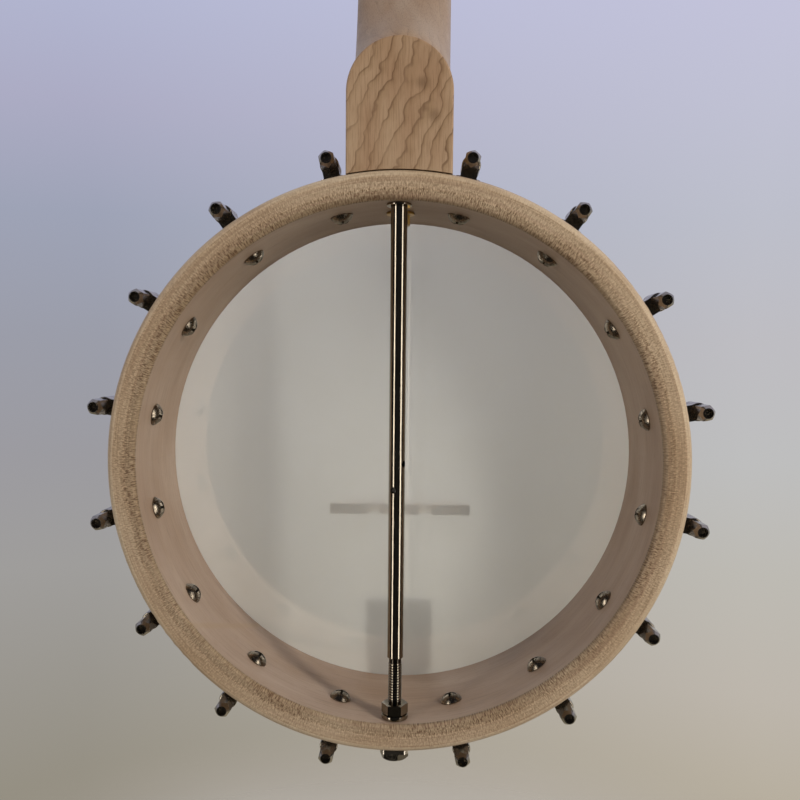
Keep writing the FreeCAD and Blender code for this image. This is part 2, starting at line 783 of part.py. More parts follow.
def make_rod():
    rod = keep(new_body("coordinator_rod", POT))
    sketch = new_sketch(rod, "XY_Plane", z="rod_depth")
    thread, bore = "rod_thread / 2", "lag_diameter / 2 + seat_gap / 2"
    bottom = "rod_neck_end - rod_bore_depth"
    draw(sketch, [("0", "-rod_tail_end"), (thread, "-rod_tail_end"), (thread, "-rod_thread_start"),
                  ("rod_diameter / 2", "rod_step - rod_thread_start"),
                  ("rod_diameter / 2", "rod_neck_end"), (bore, "rod_neck_end"), (bore, bottom),
                  ("0", bottom)])
    revolve(rod, sketch)
    sketch = new_sketch(rod, "XY_Plane", z="rod_depth", axis="0; 1; 0", angle="-cross_hole_turn")
    circle(sketch, "0", "-cross_hole_down", "cross_hole / 2")
    pocket_through(rod, sketch)
    sketch = new_sketch(rod, "YZ_Plane", y="rod_depth", axis="1; 0; 0", angle="-cross_hole_turn")
    circle(sketch, "cross_hole_up", "0", "cross_hole / 2")
    pocket_through(rod, sketch)


def make_washer(label, y, z, radius, bore, thickness="washer_thickness"):
    washer = keep(new_body(label, along_pot_y("0", y, z)))
    sketch = new_sketch(washer, "XY_Plane")
    circle(sketch, "0", "0", radius)
    circle(sketch, "0", "0", bore)
    pad(washer, sketch, thickness)
    chamfer(washer, "washer_thickness / 5", ring_at((radius, "0"), (radius, thickness)))


def make_lag(label, z, inner_end):
    """A screw with its point in the heel and its other end inside the pot."""
    lag = keep(new_body(label, POT))
    sketch = new_sketch(lag, "XY_Plane", z=z)
    half, point = "lag_diameter / 2", "rim_radius + lag_reach"
    draw(sketch, [("0", inner_end), (half, inner_end), (half, point + " - lag_tip"), ("0", point)])
    revolve(lag, sketch)


def make_pot_nut(label, y, z, flats, height, bore, turn):
    """A hexagon nut on the pot's long axis that starts at y and grows towards the tail."""
    nut = keep(new_body(label, shifted(POT, "0", y, z, "1; 0; 0", "90")))
    hex_nut(nut, "0", "0", flats, height, bore, "%s / 2 - nut_chamfer" % flats, turn)


def make_rod_hardware():
    lag_bore = "lag_diameter / 2 + hole_play"
    make_washer("rod_neck_washer", "wall_seat - washer_thickness", "rod_depth", "neck_washer / 2", lag_bore)
    make_washer("upper_lag_washer", "upper_seat - washer_thickness", "upper_lag_depth",
                "upper_washer / 2", lag_bore)
    make_lag("lower_lag_bolt", "rod_depth", "rod_neck_end - lag_in_rod")
    nut_face = "upper_seat - washer_thickness - seat_gap"
    make_lag("upper_lag_bolt", "upper_lag_depth", nut_face + " - upper_nut_height - stud_end")
    make_pot_nut("upper_lag_nut", nut_face, "upper_lag_depth", "upper_nut_flats", "upper_nut_height",
                 "lag_diameter / 2 + seat_gap / 2", "30")
    bore = "rod_thread / 2 + seat_gap / 2"
    make_washer("rod_tail_washer", "-tail_seat", "rod_depth", "tail_washer / 2", bore,
                "tail_washer_thickness")
    make_pot_nut("rod_tail_nut", "tail_nut_height - tail_nut_seat", "rod_depth", "tail_nut_flats",
                 "tail_nut_height", bore, "0")
    make_pot_nut("rod_cap_nut", "-cap_nut_seat", "rod_depth", "cap_nut_flats", "cap_nut_height", bore,
                 "15")


def make_tailpiece():
    strap = keep(new_body("tailpiece_bracket", POT))
    sketch = new_sketch(strap, "YZ_Plane")
    skew = "strap_thickness * tan(strap_lean / 2)"
    draw(sketch, [("-strap_inner", "strap_low"), ("-strap_inner", "strap_bend_low"),
                  ("-strap_upper_inner", "strap_bend_high"), ("-strap_upper_inner", "strap_top"),
                  ("-strap_upper_outer", "strap_top"), ("-strap_upper_outer", "strap_bend_high - " + skew),
                  ("-strap_outer", "strap_bend_low - " + skew), ("-strap_outer", "strap_low")])
    pad(strap, sketch, "strap_width", SideType="Symmetric")
    fillet(strap, "strap_corner", straight_along(Vector(0, 1, 0)))
    sketch = new_sketch(strap, "XZ_Plane")
    circle(sketch, "0", "rod_depth", "rod_thread / 2 + hole_play / 2")
    circle(sketch, "0", "tailpiece_screw_depth", "tailpiece_screw_shank / 2 + seat_gap / 2")
    pocket_through(strap, sketch)

    plate = keep(new_body("tailpiece", POT))
    sketch = new_sketch(plate, "YZ_Plane")
    draw(sketch, [("-flange_outer", "tailpiece_flange_low"), ("-flange_inner", "tailpiece_flange_low"),
                  ("-flange_inner", "tailpiece_rear_top - tailpiece_sheet"),
                  ("-tailpiece_front", "tailpiece_front_top - tailpiece_sheet"),
                  ("-tailpiece_front", "tailpiece_front_top"), ("-flange_outer", "tailpiece_rear_top")])
    pad(plate, sketch, "tailpiece_width", SideType="Symmetric")
    for side in ("", "-"):
        sketch = new_sketch(plate, "XY_Plane")
        wide, narrow = side + "(tailpiece_width / 2 + overcut / 2)", side + "tailpiece_rear_width / 2"
        draw(sketch, [(wide, "-tailpiece_shoulder"), (narrow, "-flange_outer - overcut / 2"),
                      (wide, "-flange_outer - overcut / 2")])
        pocket_through(plate, sketch)
    sketch = new_sketch(plate, "XY_Plane", z="anchor_top - tailpiece_sheet / 2")
    for place in range(-2, 3):
        circle(sketch, "%d * anchor_spacing" % place, "-anchor_from_centre", "anchor_radius")
    pad(plate, sketch, "anchor_height + tailpiece_sheet / 2")
    sketch = new_sketch(plate, "XZ_Plane")
    circle(sketch, "0", "tailpiece_screw_depth", "tailpiece_screw_shank / 2 + hole_play / 2")
    pocket_through(plate, sketch)

    start = "-flange_outer - seat_gap / 2 - tailpiece_screw_head_height"
    screw = keep(new_body("tailpiece_screw", along_pot_y("0", start, "tailpiece_screw_depth")))
    sketch = new_sketch(screw, "XZ_Plane")
    reach = "tailpiece_screw_head_height + tailpiece_sheet + strap_thickness + 3 * seat_gap"
    draw(sketch, [("0", "0"), ("tailpiece_screw_head / 2 - head_bevel", "0"),
                  ("tailpiece_screw_head / 2", "head_bevel"),
                  ("tailpiece_screw_head / 2", "tailpiece_screw_head_height"),
                  ("tailpiece_screw_shank / 2", "tailpiece_screw_head_height"),
                  ("tailpiece_screw_shank / 2", reach), ("0", reach)])
    revolve(screw, sketch)
    sketch = new_sketch(screw, "XY_Plane")
    draw(sketch, box("-tailpiece_screw_head", "-recess_slot / 2", "tailpiece_screw_head",
                     "recess_slot / 2"))
    pocket(screw, sketch, "tailpiece_screw_head_height / 2", Reversed=True)


def make_bridge():
    bridge = keep(new_body("bridge", POT))
    sketch = new_sketch(bridge, "XZ_Plane", y="bridge_foot", z="bridge_below_centre")
    outer, inner = "bridge_width / 2", "(bridge_width / 2 - bridge_foot_width)"
    middle = "bridge_foot_width / 2"
    top = "bridge_height - bridge_cap_height"
    side = "bridge_arch_side"
    draw(sketch, [("-" + outer, "0"), ("-" + inner, "0"),
                  ("-" + inner, side, "bridge_arch_radius", -1), ("-" + middle, side),
                  ("-" + middle, "0"), (middle, "0"),
                  (middle, side, "bridge_arch_radius", -1), (inner, side),
                  (inner, "0"), (outer, "0"), (outer, "bridge_foot_height"),
                  ("bridge_top_width / 2", "bridge_shoulder"), ("bridge_top_width / 2", top),
                  ("-bridge_top_width / 2", top), ("-bridge_top_width / 2", "bridge_shoulder"),
                  ("-" + outer, "bridge_foot_height")])
    pad(bridge, sketch, "bridge_foot_depth", SideType="Symmetric")
    for side in (1, -1):
        sketch = new_sketch(bridge, "YZ_Plane", x="-bridge_below_centre", y="bridge_foot")
        foot, thin = "%d * bridge_foot_depth / 2" % side, "%d * bridge_top_depth / 2" % side
        over = top + " + overcut / 2"
        draw(sketch, [(foot, "bridge_foot_height"), (foot, over), (thin, over), (thin, top)])
        pocket_through(bridge, sketch)

    cap = keep(new_body("bridge_cap", POT))
    sketch = new_sketch(cap, "XZ_Plane", z="bridge_below_centre")
    edge = "bridge_top_width / 2"
    points = [("-" + edge, "cap_low"), (edge, "cap_low"), (edge, "cap_top")]
    for place in range(2, -3, -1):
        middle = "%d * bridge_string_spacing" % place
        points += notch(middle, "cap_top", "-string_slot_depth")
    draw(sketch, points + [("-" + edge, "cap_top")])
    pad(cap, sketch, "bridge_top_depth", SideType="Symmetric")


def notch(middle, level, depth):
    """Four corners of a string slot, from right to left."""
    right, left = "%s + nut_slot / 2" % middle, "%s - nut_slot / 2" % middle
    floor = "%s + %s" % (level, depth)
    return [(right, level), (right, floor), (left, floor), (left, level)]


# ---- Neck ----

def treble_edge(down):
    """The board's half width, a distance down from the nut."""
    return "(nut_half + (pot_half - nut_half) * (%s) / board_length)" % down


def bass_edge(down):
    """The board's half width on the fifth string's side, below the flare."""
    return "(fifth_edge + (pot_half - fifth_edge) * (%s - flare_end) / (board_length - flare_end))" % down


def neck_section(body, height, left, right, front, depth):
    """A flat front, straight sides and a round back, at a height on the neck."""
    sketch = new_sketch(body, "XY_Plane", z=height)
    sag = "(%s - board_side - %s)" % (depth, front)
    chord = "(%s + %s)" % (left, right)
    back = "%s + board_side" % front
    radius = "((%s / 2) ^ 2 + %s ^ 2) / (2 * %s)" % (chord, sag, sag)
    draw(sketch, [("-" + left, front), (right, front), (right, back, radius, 1), ("-" + left, back)])
    return sketch


def loft(body, sections, ruled):
    item = body.newObject("PartDesign::AdditiveLoft", body.Label + "_loft")
    item.Profile = sections[0]
    item.Sections = sections[1:]
    item.Ruled = ruled
    doc.recompute()


def neck_depth(down):
    return "(neck_depth_nut + (neck_depth_pot - neck_depth_nut) * (%s) / board_length)" % down


def make_neck_blank():
    neck = new_body("neck_blank")
    half = "volute_width / 2"
    sections = [neck_section(neck, "volute_length", half, half, "volute_front", "volute_depth"),
                neck_section(neck, "nut_length", "nut_half", "nut_half", "peghead_face", "neck_depth_nut")]
    for down, bass in (("0", treble_edge("0")), ("flare_start", treble_edge("flare_start")),
                       ("flare_end", bass_edge("flare_end")), ("board_length + overrun", None)):
        left = bass or bass_edge("board_length + overrun")
        sections.append(neck_section(neck, "-(%s)" % down, left, treble_edge(down), "0", neck_depth(down)))
    loft(neck, sections, True)

    heel_steps = (0, 0.18, 0.4, 0.68, 1)  # the sections' places between the board and the heel cap
    heel = []
    for step in heel_steps:
        depth = "heel_root + (heel_cap - heel_root) * %s" % step
        half = "((heel_root_width + (heel_cap_width - heel_root_width) * %s) / 2)" % step
        foot = "((heel_foot_width + (heel_cap_width - heel_foot_width) * %s) / 2)" % step
        top = "(-pot_drop + heel_reach + heel_sweep * (1 - %s) ^ 3)" % step
        sketch = new_sketch(neck, "XZ_Plane", z="-(%s)" % depth)
        spring = "%s - %s" % (top, half)
        draw(sketch, [("-" + foot, "-pot_drop + rim_inner"), (foot, "-pot_drop + rim_inner"),
                      (half, spring, half, 1), ("0", top, half, 1), ("-" + half, spring)])
        heel.append(sketch)
    loft(neck, heel, False)
    cap = number("heel_cap")
    fillet(neck, "heel_edge_round", lambda edge: edge.BoundBox.YMin > cap - 0.01
           and edge.BoundBox.ZMax > number("-pot_drop + rim_radius + overcut"))

    sketch = new_sketch(neck, "XZ_Plane", y="nut_length", z="-peghead_face", axis="1; 0; 0",
                        angle="-peghead_tilt")
    right = [("peghead_root_width / 4", "-peghead_tenon"), ("peghead_root_width / 2", "peghead_neck"),
             ("peghead_shoulder_width / 2", "peghead_shoulder"),
             ("peghead_waist_width / 2", "peghead_waist"), ("peghead_crown_width / 2", "peghead_crown"),
             ("peghead_horn_width / 2", "peghead_horn")]
    left = [("-" + x, y) for x, y in reversed(right)]
    draw(sketch, right + [("0", "peghead_dip")] + left)
    pad(neck, sketch, "peghead_thickness", Reversed=True)
    tilt = number("peghead_tilt")
    normal = Rotation(Vector(1, 0, 0), -tilt).multVec(Vector(0, -1, 0))
    foot = number("peghead_neck + overcut")
    fillet(neck, "peghead_corner", straight_along(normal, lambda middle: middle.z > foot))
    return neck


def make_pot_clearance():
    """What the rim and the hoops need: the rim's own round, and a wider round for the hoops."""
    room = new_body("pot_clearance", POT)
    sketch = new_sketch(room, "XZ_Plane")
    narrow, wide = "rim_radius + rim_clearance", "hoop_outer + hoop_clearance"
    step = "flesh_low - neck_step_gap"
    draw(sketch, [("0", "-overrun"), (narrow, "-overrun"), (narrow, step), (wide, step),
                  (wide, "rim_depth + overrun"), ("0", "rim_depth + overrun")])
    revolve(room, sketch)
    return room


def fret_place(index):
    return "-scale_length * (1 - 2 ^ (-%d / 12))" % index


def make_frets():
    """Crown and tang of every fret, cut to the board's outline."""
    blank = new_body("fret_blanks")
    sketch = new_sketch(blank, "YZ_Plane")
    half = "fret_crown_width / 2"
    radius = "((%s) ^ 2 + fret_crown_height ^ 2) / (2 * fret_crown_height)" % half
    for index in range(1, int(number("fret_count")) + 1):
        place = fret_place(index)
        draw(sketch, [("-touch_gap", "%s + %s" % (place, half), radius, 1),
                      ("-touch_gap", "%s - %s" % (place, half)),
                      ("-touch_gap", "%s - fret_tang / 2" % place),
                      ("fret_tang_depth", "%s - fret_tang / 2" % place),
                      ("fret_tang_depth", "%s + fret_tang / 2" % place),
                      ("-touch_gap", "%s + fret_tang / 2" % place)])
    pad(blank, sketch, "2 * board_pot_width", SideType="Symmetric")
    outline = new_body("fret_outline")
    sketch = new_sketch(outline, "XZ_Plane")

    def inset(edge):
        return edge + " - fret_inset"
    points = [(inset(treble_edge("0")), "0"), (inset(treble_edge("board_length")), "-board_length")]
    for edge, down in ((bass_edge("board_length"), "board_length"), (bass_edge("flare_end"), "flare_end"),
                       (treble_edge("flare_start"), "flare_start"), (treble_edge("0"), "0")):
        points.append(("-(%s)" % inset(edge), "-" + down))
    draw(sketch, points)
    pad(outline, sketch, "4 * fret_tang_depth", SideType="Symmetric")
    frets = keep(doc.addObject("Part::Common", "frets"), "frets")
    frets.Base = blank
    frets.Tool = outline

    slots = new_body("fret_slots")
    sketch = new_sketch(slots, "YZ_Plane")
    half = "(fret_tang / 2 + fret_slot_gap)"
    for index in range(1, int(number("fret_count")) + 1):
        place = fret_place(index)
        draw(sketch, box("-overcut", "%s - %s" % (place, half), "fret_tang_depth + seat_gap",
                         "%s + %s" % (place, half)))
    pad(slots, sketch, "2 * board_pot_width", SideType="Symmetric")
    return slots


def make_dots():
    """Dark dots between two frets each: in the board's face and, below the flare, in its side."""
    dots = []
    for index in (3, 5, 7, 10, 12, 15, 17, 19, 22):
        middle = "((%s) + (%s)) / 2" % (fret_place(index - 1), fret_place(index))
        sides = ("-dot_pair_offset", "dot_pair_offset") if index == 12 else ("0",)
        for side in sides:
            frame = shifted(None, side, "0", middle, "1; 0; 0", "-90")
            dots.append(new_cylinder("dot", "dot_radius", "dot_depth", frame))
        if number("-(%s)" % middle) > number("flare_end"):
            start = "-(%s + seat_gap / 2)" % bass_edge("-(%s)" % middle)
            frame = shifted(None, start, "side_dot_down", middle, "0; 1; 0", "90")
            dots.append(new_cylinder("side_dot", "side_dot_radius", "side_dot_depth", frame))
    group = keep(doc.addObject("Part::Compound", "position_dots"), "position_dots")
    group.Links = dots
    return group


def make_nuts():
    nut = keep(new_body("top_nut"))
    sketch = new_sketch(nut, "XY_Plane")
    points = [("-nut_half", "nut_seat - seat_gap"), ("nut_half", "nut_seat - seat_gap"),
              ("nut_half", "-nut_stand")]
    for place in (1.5, 0.5, -0.5, -1.5):
        points += notch("%s * nut_string_spacing" % place, "-nut_stand", "(nut_stand - nut_string_height)")
    draw(sketch, points + [("-nut_half", "-nut_stand")])
    pad(nut, sketch, "nut_length - seat_gap")

    pip = keep(new_body("fifth_string_nut", shifted(None, "-pip_offset", "0", "-pip_from_nut",
                                                    "1; 0; 0", "90")))
    sketch = new_sketch(pip, "XY_Plane", z="seat_gap - pip_seat")
    circle(sketch, "0", "0", "pip_radius")
    pad(pip, sketch, "pip_seat + pip_stand - seat_gap")
    sketch = new_sketch(pip, "XZ_Plane")
    draw(sketch, box("-pip_slot / 2", "pip_string_height", "pip_slot / 2", "pip_stand + overcut / 2"))
    pocket_through(pip, sketch)


def make_neck(slots, dots):
    blank = make_neck_blank()
    seat = new_body("nut_seat_cut")
    sketch = new_sketch(seat, "XY_Plane")
    draw(sketch, box("-nut_width", "-overrun", "nut_width", "nut_seat"))
    pad(seat, sketch, "nut_length")
    tools = [make_pot_clearance(), slots, dots, seat]
    for name, height in (("lower_lag_bore", "rod_depth"), ("upper_lag_bore", "upper_lag_depth")):
        tools.append(new_cylinder(name, "lag_diameter / 2 + seat_gap / 2", "lag_reach + overcut",
                                  along_pot_y("0", "rim_radius - overcut / 2", height)))
    holes = new_body("peghead_holes", PEGHEAD)
    sketch = new_sketch(holes, "XY_Plane", z="overcut / 2")
    circle(sketch, "tuner_offset", "tuner_low", "bushing_radius + seat_gap / 2")
    pad(holes, sketch, "peghead_thickness + overcut", Reversed=True)
    sketch = new_sketch(holes, "XY_Plane", z="-peghead_thickness - overcut / 2")
    circle(sketch, "tuner_offset", "tuner_low - housing_below - ear_length / 2",
           "ear_screw_radius + seat_gap / 2")
    pad(holes, sketch, "ear_screw_length")
    on_each_tuner(holes)
    tools.append(holes)
    peg = shifted(None, "-peg_seat - overcut / 2", "peg_depth", "-peg_from_nut", "0; 1; 0", "90")
    tools.append(new_cylinder("peg_bore", "peg_pin_radius + seat_gap / 2", "peg_pin_length + overcut", peg))
    pip = shifted(None, "-pip_offset", "-overcut / 2", "-pip_from_nut", "1; 0; 0", "-90")
    tools.append(new_cylinder("pip_bore", "pip_radius + seat_gap / 2", "pip_seat + overcut / 2", pip))
    keep(new_cut("neck", blank, tools))


# ---- Tuners ----

def make_tuner_fittings():
    bushings = keep(new_body("tuner_bushings", PEGHEAD))
    hole = "post_radius + running_gap"
    for z, radius, height in (("-bushing_length", "bushing_radius", "bushing_length + seat_gap"),
                              ("seat_gap", "bushing_collar", "bushing_collar_height")):
        sketch = new_sketch(bushings, "XY_Plane", z=z)
        circle(sketch, "tuner_offset", "tuner_low", radius)
        pad(bushings, sketch, height)
    sketch = new_sketch(bushings, "XY_Plane", z="seat_gap + bushing_collar_height")
    draw(sketch, hexagon("tuner_offset", "tuner_low", "bushing_flats"))
    pad(bushings, sketch, "bushing_flats_height")
    sketch = new_sketch(bushings, "XY_Plane")
    circle(sketch, "tuner_offset", "tuner_low", hole)
    pocket_through(bushings, sketch)
    on_each_tuner(bushings)

    housings = keep(new_body("tuner_housings", PEGHEAD))
    left, right = "tuner_offset - housing_half_width", "tuner_offset + housing_half_width"
    low, high = "tuner_low - housing_below", "tuner_low + housing_above"
    sketch = new_sketch(housings, "XY_Plane", z="housing_back")
    draw(sketch, box(left, low, right, high))
    pad(housings, sketch, "housing_height")
    back = number("housing_back")
    fillet(housings, "housing_round", lambda edge: isinstance(edge.Curve, Part.Line)
           and edge.CenterOfMass.z < number("housing_seat") - 1 and edge.BoundBox.ZMin < back + 1e-6)
    sketch = new_sketch(housings, "XY_Plane", z="housing_seat")
    wall = "housing_wall"
    draw(sketch, box("%s + %s" % (left, wall), "%s + %s" % (low, wall), "%s - %s" % (right, wall),
                     "%s - %s" % (high, wall)))
    pocket(housings, sketch, "housing_height - housing_wall")
    sketch = new_sketch(housings, "XY_Plane", z="housing_seat - ear_thickness")
    draw(sketch, box("tuner_offset - ear_width / 2", "%s - ear_length" % low,
                     "tuner_offset + ear_width / 2", "%s + %s" % (low, wall)))
    pad(housings, sketch, "ear_thickness")
    sketch = new_sketch(housings, "XY_Plane", z="housing_seat")
    circle(sketch, "tuner_offset", "%s - ear_length / 2" % low, "ear_screw_radius + hole_play / 2")
    pocket(housings, sketch, "ear_thickness + overcut / 2")
    sketch = new_sketch(housings, "YZ_Plane", z="tuner_offset")
    circle(sketch, "tuner_low + worm_offset", "gear_level", "worm_radius + running_gap")
    pocket(housings, sketch, "housing_half_width + overcut / 2", Reversed=True)
    on_each_tuner(housings)

    screws = keep(new_body("tuner_screws", PEGHEAD))
    sketch = new_sketch(screws, "XZ_Plane", x="tuner_offset", y="housing_seat - ear_thickness - seat_gap",
                        z="-(%s - ear_length / 2)" % low)
    top = "-ear_screw_head_height"
    draw(sketch, [("0", top), ("ear_screw_head - head_bevel", top), ("ear_screw_head", top + " + head_bevel"),
                  ("ear_screw_head", "0"), ("ear_screw_radius", "0"),
                  ("ear_screw_radius", "ear_screw_length - 2 * ear_screw_radius"),
                  ("0", "ear_screw_length")])
    revolve(screws, sketch)
    on_each_tuner(screws)


def make_tuner(index, side, level):
    """One tuner's post, worm wheel, worm shaft and button, on the right (1) or left (-1)."""
    where = ("%d * tuner_offset" % side, level, "0")
    post = keep(new_body("string_post_%d" % index, shifted(PEGHEAD, *where)))
    sketch = new_sketch(post, "XZ_Plane")
    foot = "housing_back + housing_wall + hole_play"
    draw(sketch, [("0", foot), ("post_radius", foot), ("post_radius", "post_waist_low"),
                  ("post_waist", "post_waist_low + post_chamfer"),
                  ("post_waist", "post_waist_high - post_chamfer"),
                  ("post_radius", "post_waist_high"), ("post_radius", "post_stand - post_chamfer"),
                  ("post_radius - post_chamfer", "post_stand"), ("0", "post_stand")])
    revolve(post, sketch)
    sketch = new_sketch(post, "YZ_Plane")
    circle(sketch, "0", "(post_waist_low + post_waist_high) / 2", "post_hole")
    pocket_through(post, sketch)

    wheel = keep(new_body("worm_wheel_%d" % index, shifted(PEGHEAD, *where)))
    sketch = new_sketch(wheel, "XY_Plane", z="gear_level - wheel_height / 2")
    teeth = int(number("wheel_teeth"))
    root, tip = 0.3, 0.15  # half the tooth's width at its root and its tip, in teeth
    points = []
    for tooth in range(teeth):
        for share, reach in ((-root, "(wheel_radius - tooth_depth)"), (-tip, "wheel_radius"),
                             (tip, "wheel_radius"), (root, "(wheel_radius - tooth_depth)")):
            angle = "(%s) * 360 / wheel_teeth" % (tooth + share)
            points.append(("%s * cos(%s)" % (reach, angle), "%s * sin(%s)" % (reach, angle)))
    draw(sketch, points)
    circle(sketch, "0", "0", "post_radius + touch_gap")
    pad(wheel, sketch, "wheel_height")

    side_on = shifted(PEGHEAD, where[0], "%s + worm_offset" % level, "gear_level", "0; 1; 0",
                      "%d" % (90 * side))
    shaft = keep(new_body("worm_shaft_%d" % index, side_on))
    sketch = new_sketch(shaft, "XZ_Plane")
    inner = "housing_half_width - housing_wall - 2 * hole_play"
    points = [("0", "-(%s)" % inner)]
    rings = 4
    for ring in range(rings):
        low = "-worm_half_length + %s * worm_half_length" % (2.0 * ring / rings)
        points += [("worm_root", low), ("worm_radius", "%s + worm_half_length / 8" % low),
                   ("worm_radius", "%s + worm_half_length / 4" % low),
                   ("worm_root", "%s + worm_half_length * 3 / 8" % low)]
    points.insert(1, ("worm_root", "-(%s)" % inner))
    outside = "(housing_half_width + shaft_play)"
    shoulder, collar = "worm_half_length + worm_radius - worm_root", outside + " + shaft_collar_width"
    points += [("worm_root", "worm_half_length"), ("worm_radius", shoulder), ("worm_radius", outside),
               ("shaft_collar", outside), ("shaft_collar", collar), ("worm_radius", collar),
               ("worm_radius", "shaft_end"),
               ("0", "shaft_end")]
    draw(sketch, points)
    revolve(shaft, sketch)

    button = keep(new_body("tuner_button_%d" % index, side_on))
    make_paddle(button, "button_start", "button_length")
    bore_button(button, "button_start", "worm_radius + touch_gap",
                "shaft_end - button_start + seat_gap")


def make_paddle(button, start, length):
    """A flat oval button along Z."""
    sketch = new_sketch(button, "XY_Plane", z=start)
    wide, thick = "button_thickness / 2", "button_width / 2"
    draw(sketch, box("-" + wide, "-" + thick, wide, thick))
    pad(button, sketch, length)
    tall = number("button_width")
    fillet(button, "button_width / 3", straight_along(
        Vector(1, 0, 0), lambda middle: abs(middle.y) > 0.45 * tall))
    flat = number("button_thickness") / 2
    fillet(button, "button_round", lambda edge: abs(abs(edge.CenterOfMass.x) - flat) < 1e-4)


def bore_button(button, start, bore, depth):
    sketch = new_sketch(button, "XY_Plane", z=start)
    circle(sketch, "0", "0", bore)
    pocket(button, sketch, depth, Reversed=True)


def make_fifth_peg():
    frame = shifted(None, "0", "peg_depth", "-peg_from_nut", "0; 1; 0", "-90")
    peg = keep(new_body("fifth_peg_body", frame))
    sketch = new_sketch(peg, "XZ_Plane")
    axle_end = "peg_button_start + peg_button_length - peg_button_wall - hole_play"
    inner = "peg_seat - peg_pin_length"
    draw(sketch, [("0", inner), ("peg_pin_radius - post_chamfer", inner),
                  ("peg_pin_radius", inner + " + post_chamfer"), ("peg_pin_radius", "peg_seat"),
                  ("peg_flange_radius", "peg_seat"),
                  ("peg_flange_radius", "peg_seat + peg_flange - peg_flange_bevel"),
                  ("peg_flange_radius - peg_flange_bevel", "peg_seat + peg_flange"),
                  ("peg_axle_radius", "peg_seat + peg_flange"), ("peg_axle_radius", axle_end),
                  ("0", axle_end)])
    revolve(peg, sketch)

    post = keep(new_body("fifth_peg_post", frame))
    sketch = new_sketch(post, "XZ_Plane")
    bore = "peg_axle_radius + running_gap"
    draw(sketch, [(bore, "peg_post_start"), ("peg_post_end_radius", "peg_post_start"),
                  ("peg_post_end_radius", "peg_post_start + peg_post_end"),
                  ("peg_post_waist", "peg_post_start + peg_post_end + peg_post_slope"),
                  ("peg_post_waist", "peg_post_finish - peg_post_end - peg_post_slope"),
                  ("peg_post_end_radius", "peg_post_finish - peg_post_end"),
                  ("peg_post_end_radius", "peg_post_finish"), (bore, "peg_post_finish")])
    revolve(post, sketch)

    button = keep(new_body("fifth_peg_button", frame))
    make_paddle(button, "peg_button_start + peg_hub_length / 2", "peg_button_length - peg_hub_length / 2")
    sketch = new_sketch(button, "XY_Plane", z="peg_button_start")
    circle(sketch, "0", "0", "peg_button_hub")
    pad(button, sketch, "peg_hub_length")
    bore_button(button, "peg_button_start", bore, "peg_button_length - peg_button_wall")


# ---- Strings ----

def frame_point(frame, x, y, z):
    place = sheet.evalExpression(formula(frame))
    return place.multVec(Vector(number(x), number(y), number(z)))


def wire_through(label, points, gauge):
    """A round wire along straight runs, with a ball at each bend, read from the sheet's sizes."""
    wire = None
    for start, end in zip(points, points[1:]):
        run = end - start
        piece = Part.makeCylinder(gauge / 2, run.Length, start, run)
        wire = piece if wire is None else wire.fuse(piece)
    for bend in points[1:-1]:
        wire = wire.fuse(Part.makeSphere(gauge / 2, bend))
    item = keep(doc.addObject("Part::Feature", label), label)
    item.Shape = wire.removeSplitter()


def bridge_and_tail(place, gauge):
    """The string's run over the bridge, the tailpiece's front edge and its anchor, in the pot's frame."""
    half = "%s / 2" % gauge
    crest = "cap_top - string_slot_depth + %s + touch_gap" % half
    points = [("%d * bridge_string_spacing" % place, "bridge_top_depth / 2 - bridge_below_centre", crest),
              ("%d * bridge_string_spacing" % place, "-bridge_top_depth / 2 - bridge_below_centre", crest),
              ("%d * anchor_spacing" % place, "-tailpiece_front",
               "tailpiece_front_top + %s + touch_gap" % half),
              ("%d * anchor_spacing" % place, "anchor_radius + seat_gap / 2 - anchor_from_centre",
               "anchor_top + %s + touch_gap" % half)]
    return [frame_point(POT, *point) for point in points]


def make_winding(index, frame, drum, gauge):
    """Close turns of the string round its post."""
    rings = []
    turns = int(number("winding_turns"))
    for turn in range(turns):
        ring = doc.addObject("Part::Torus", "turn")
        bind(ring, "Radius1", "%s + %s / 2 + touch_gap" % (drum, gauge))
        bind(ring, "Radius2", "%s / 2" % gauge)
        bind(ring, "Placement", shifted(frame, "0", "0", "%d * %s" % (-turn, gauge)))
        rings.append(ring)
    group = keep(doc.addObject("Part::Compound", "string_winding_%d" % index), "string_winding_%d" % index)
    group.Links = rings


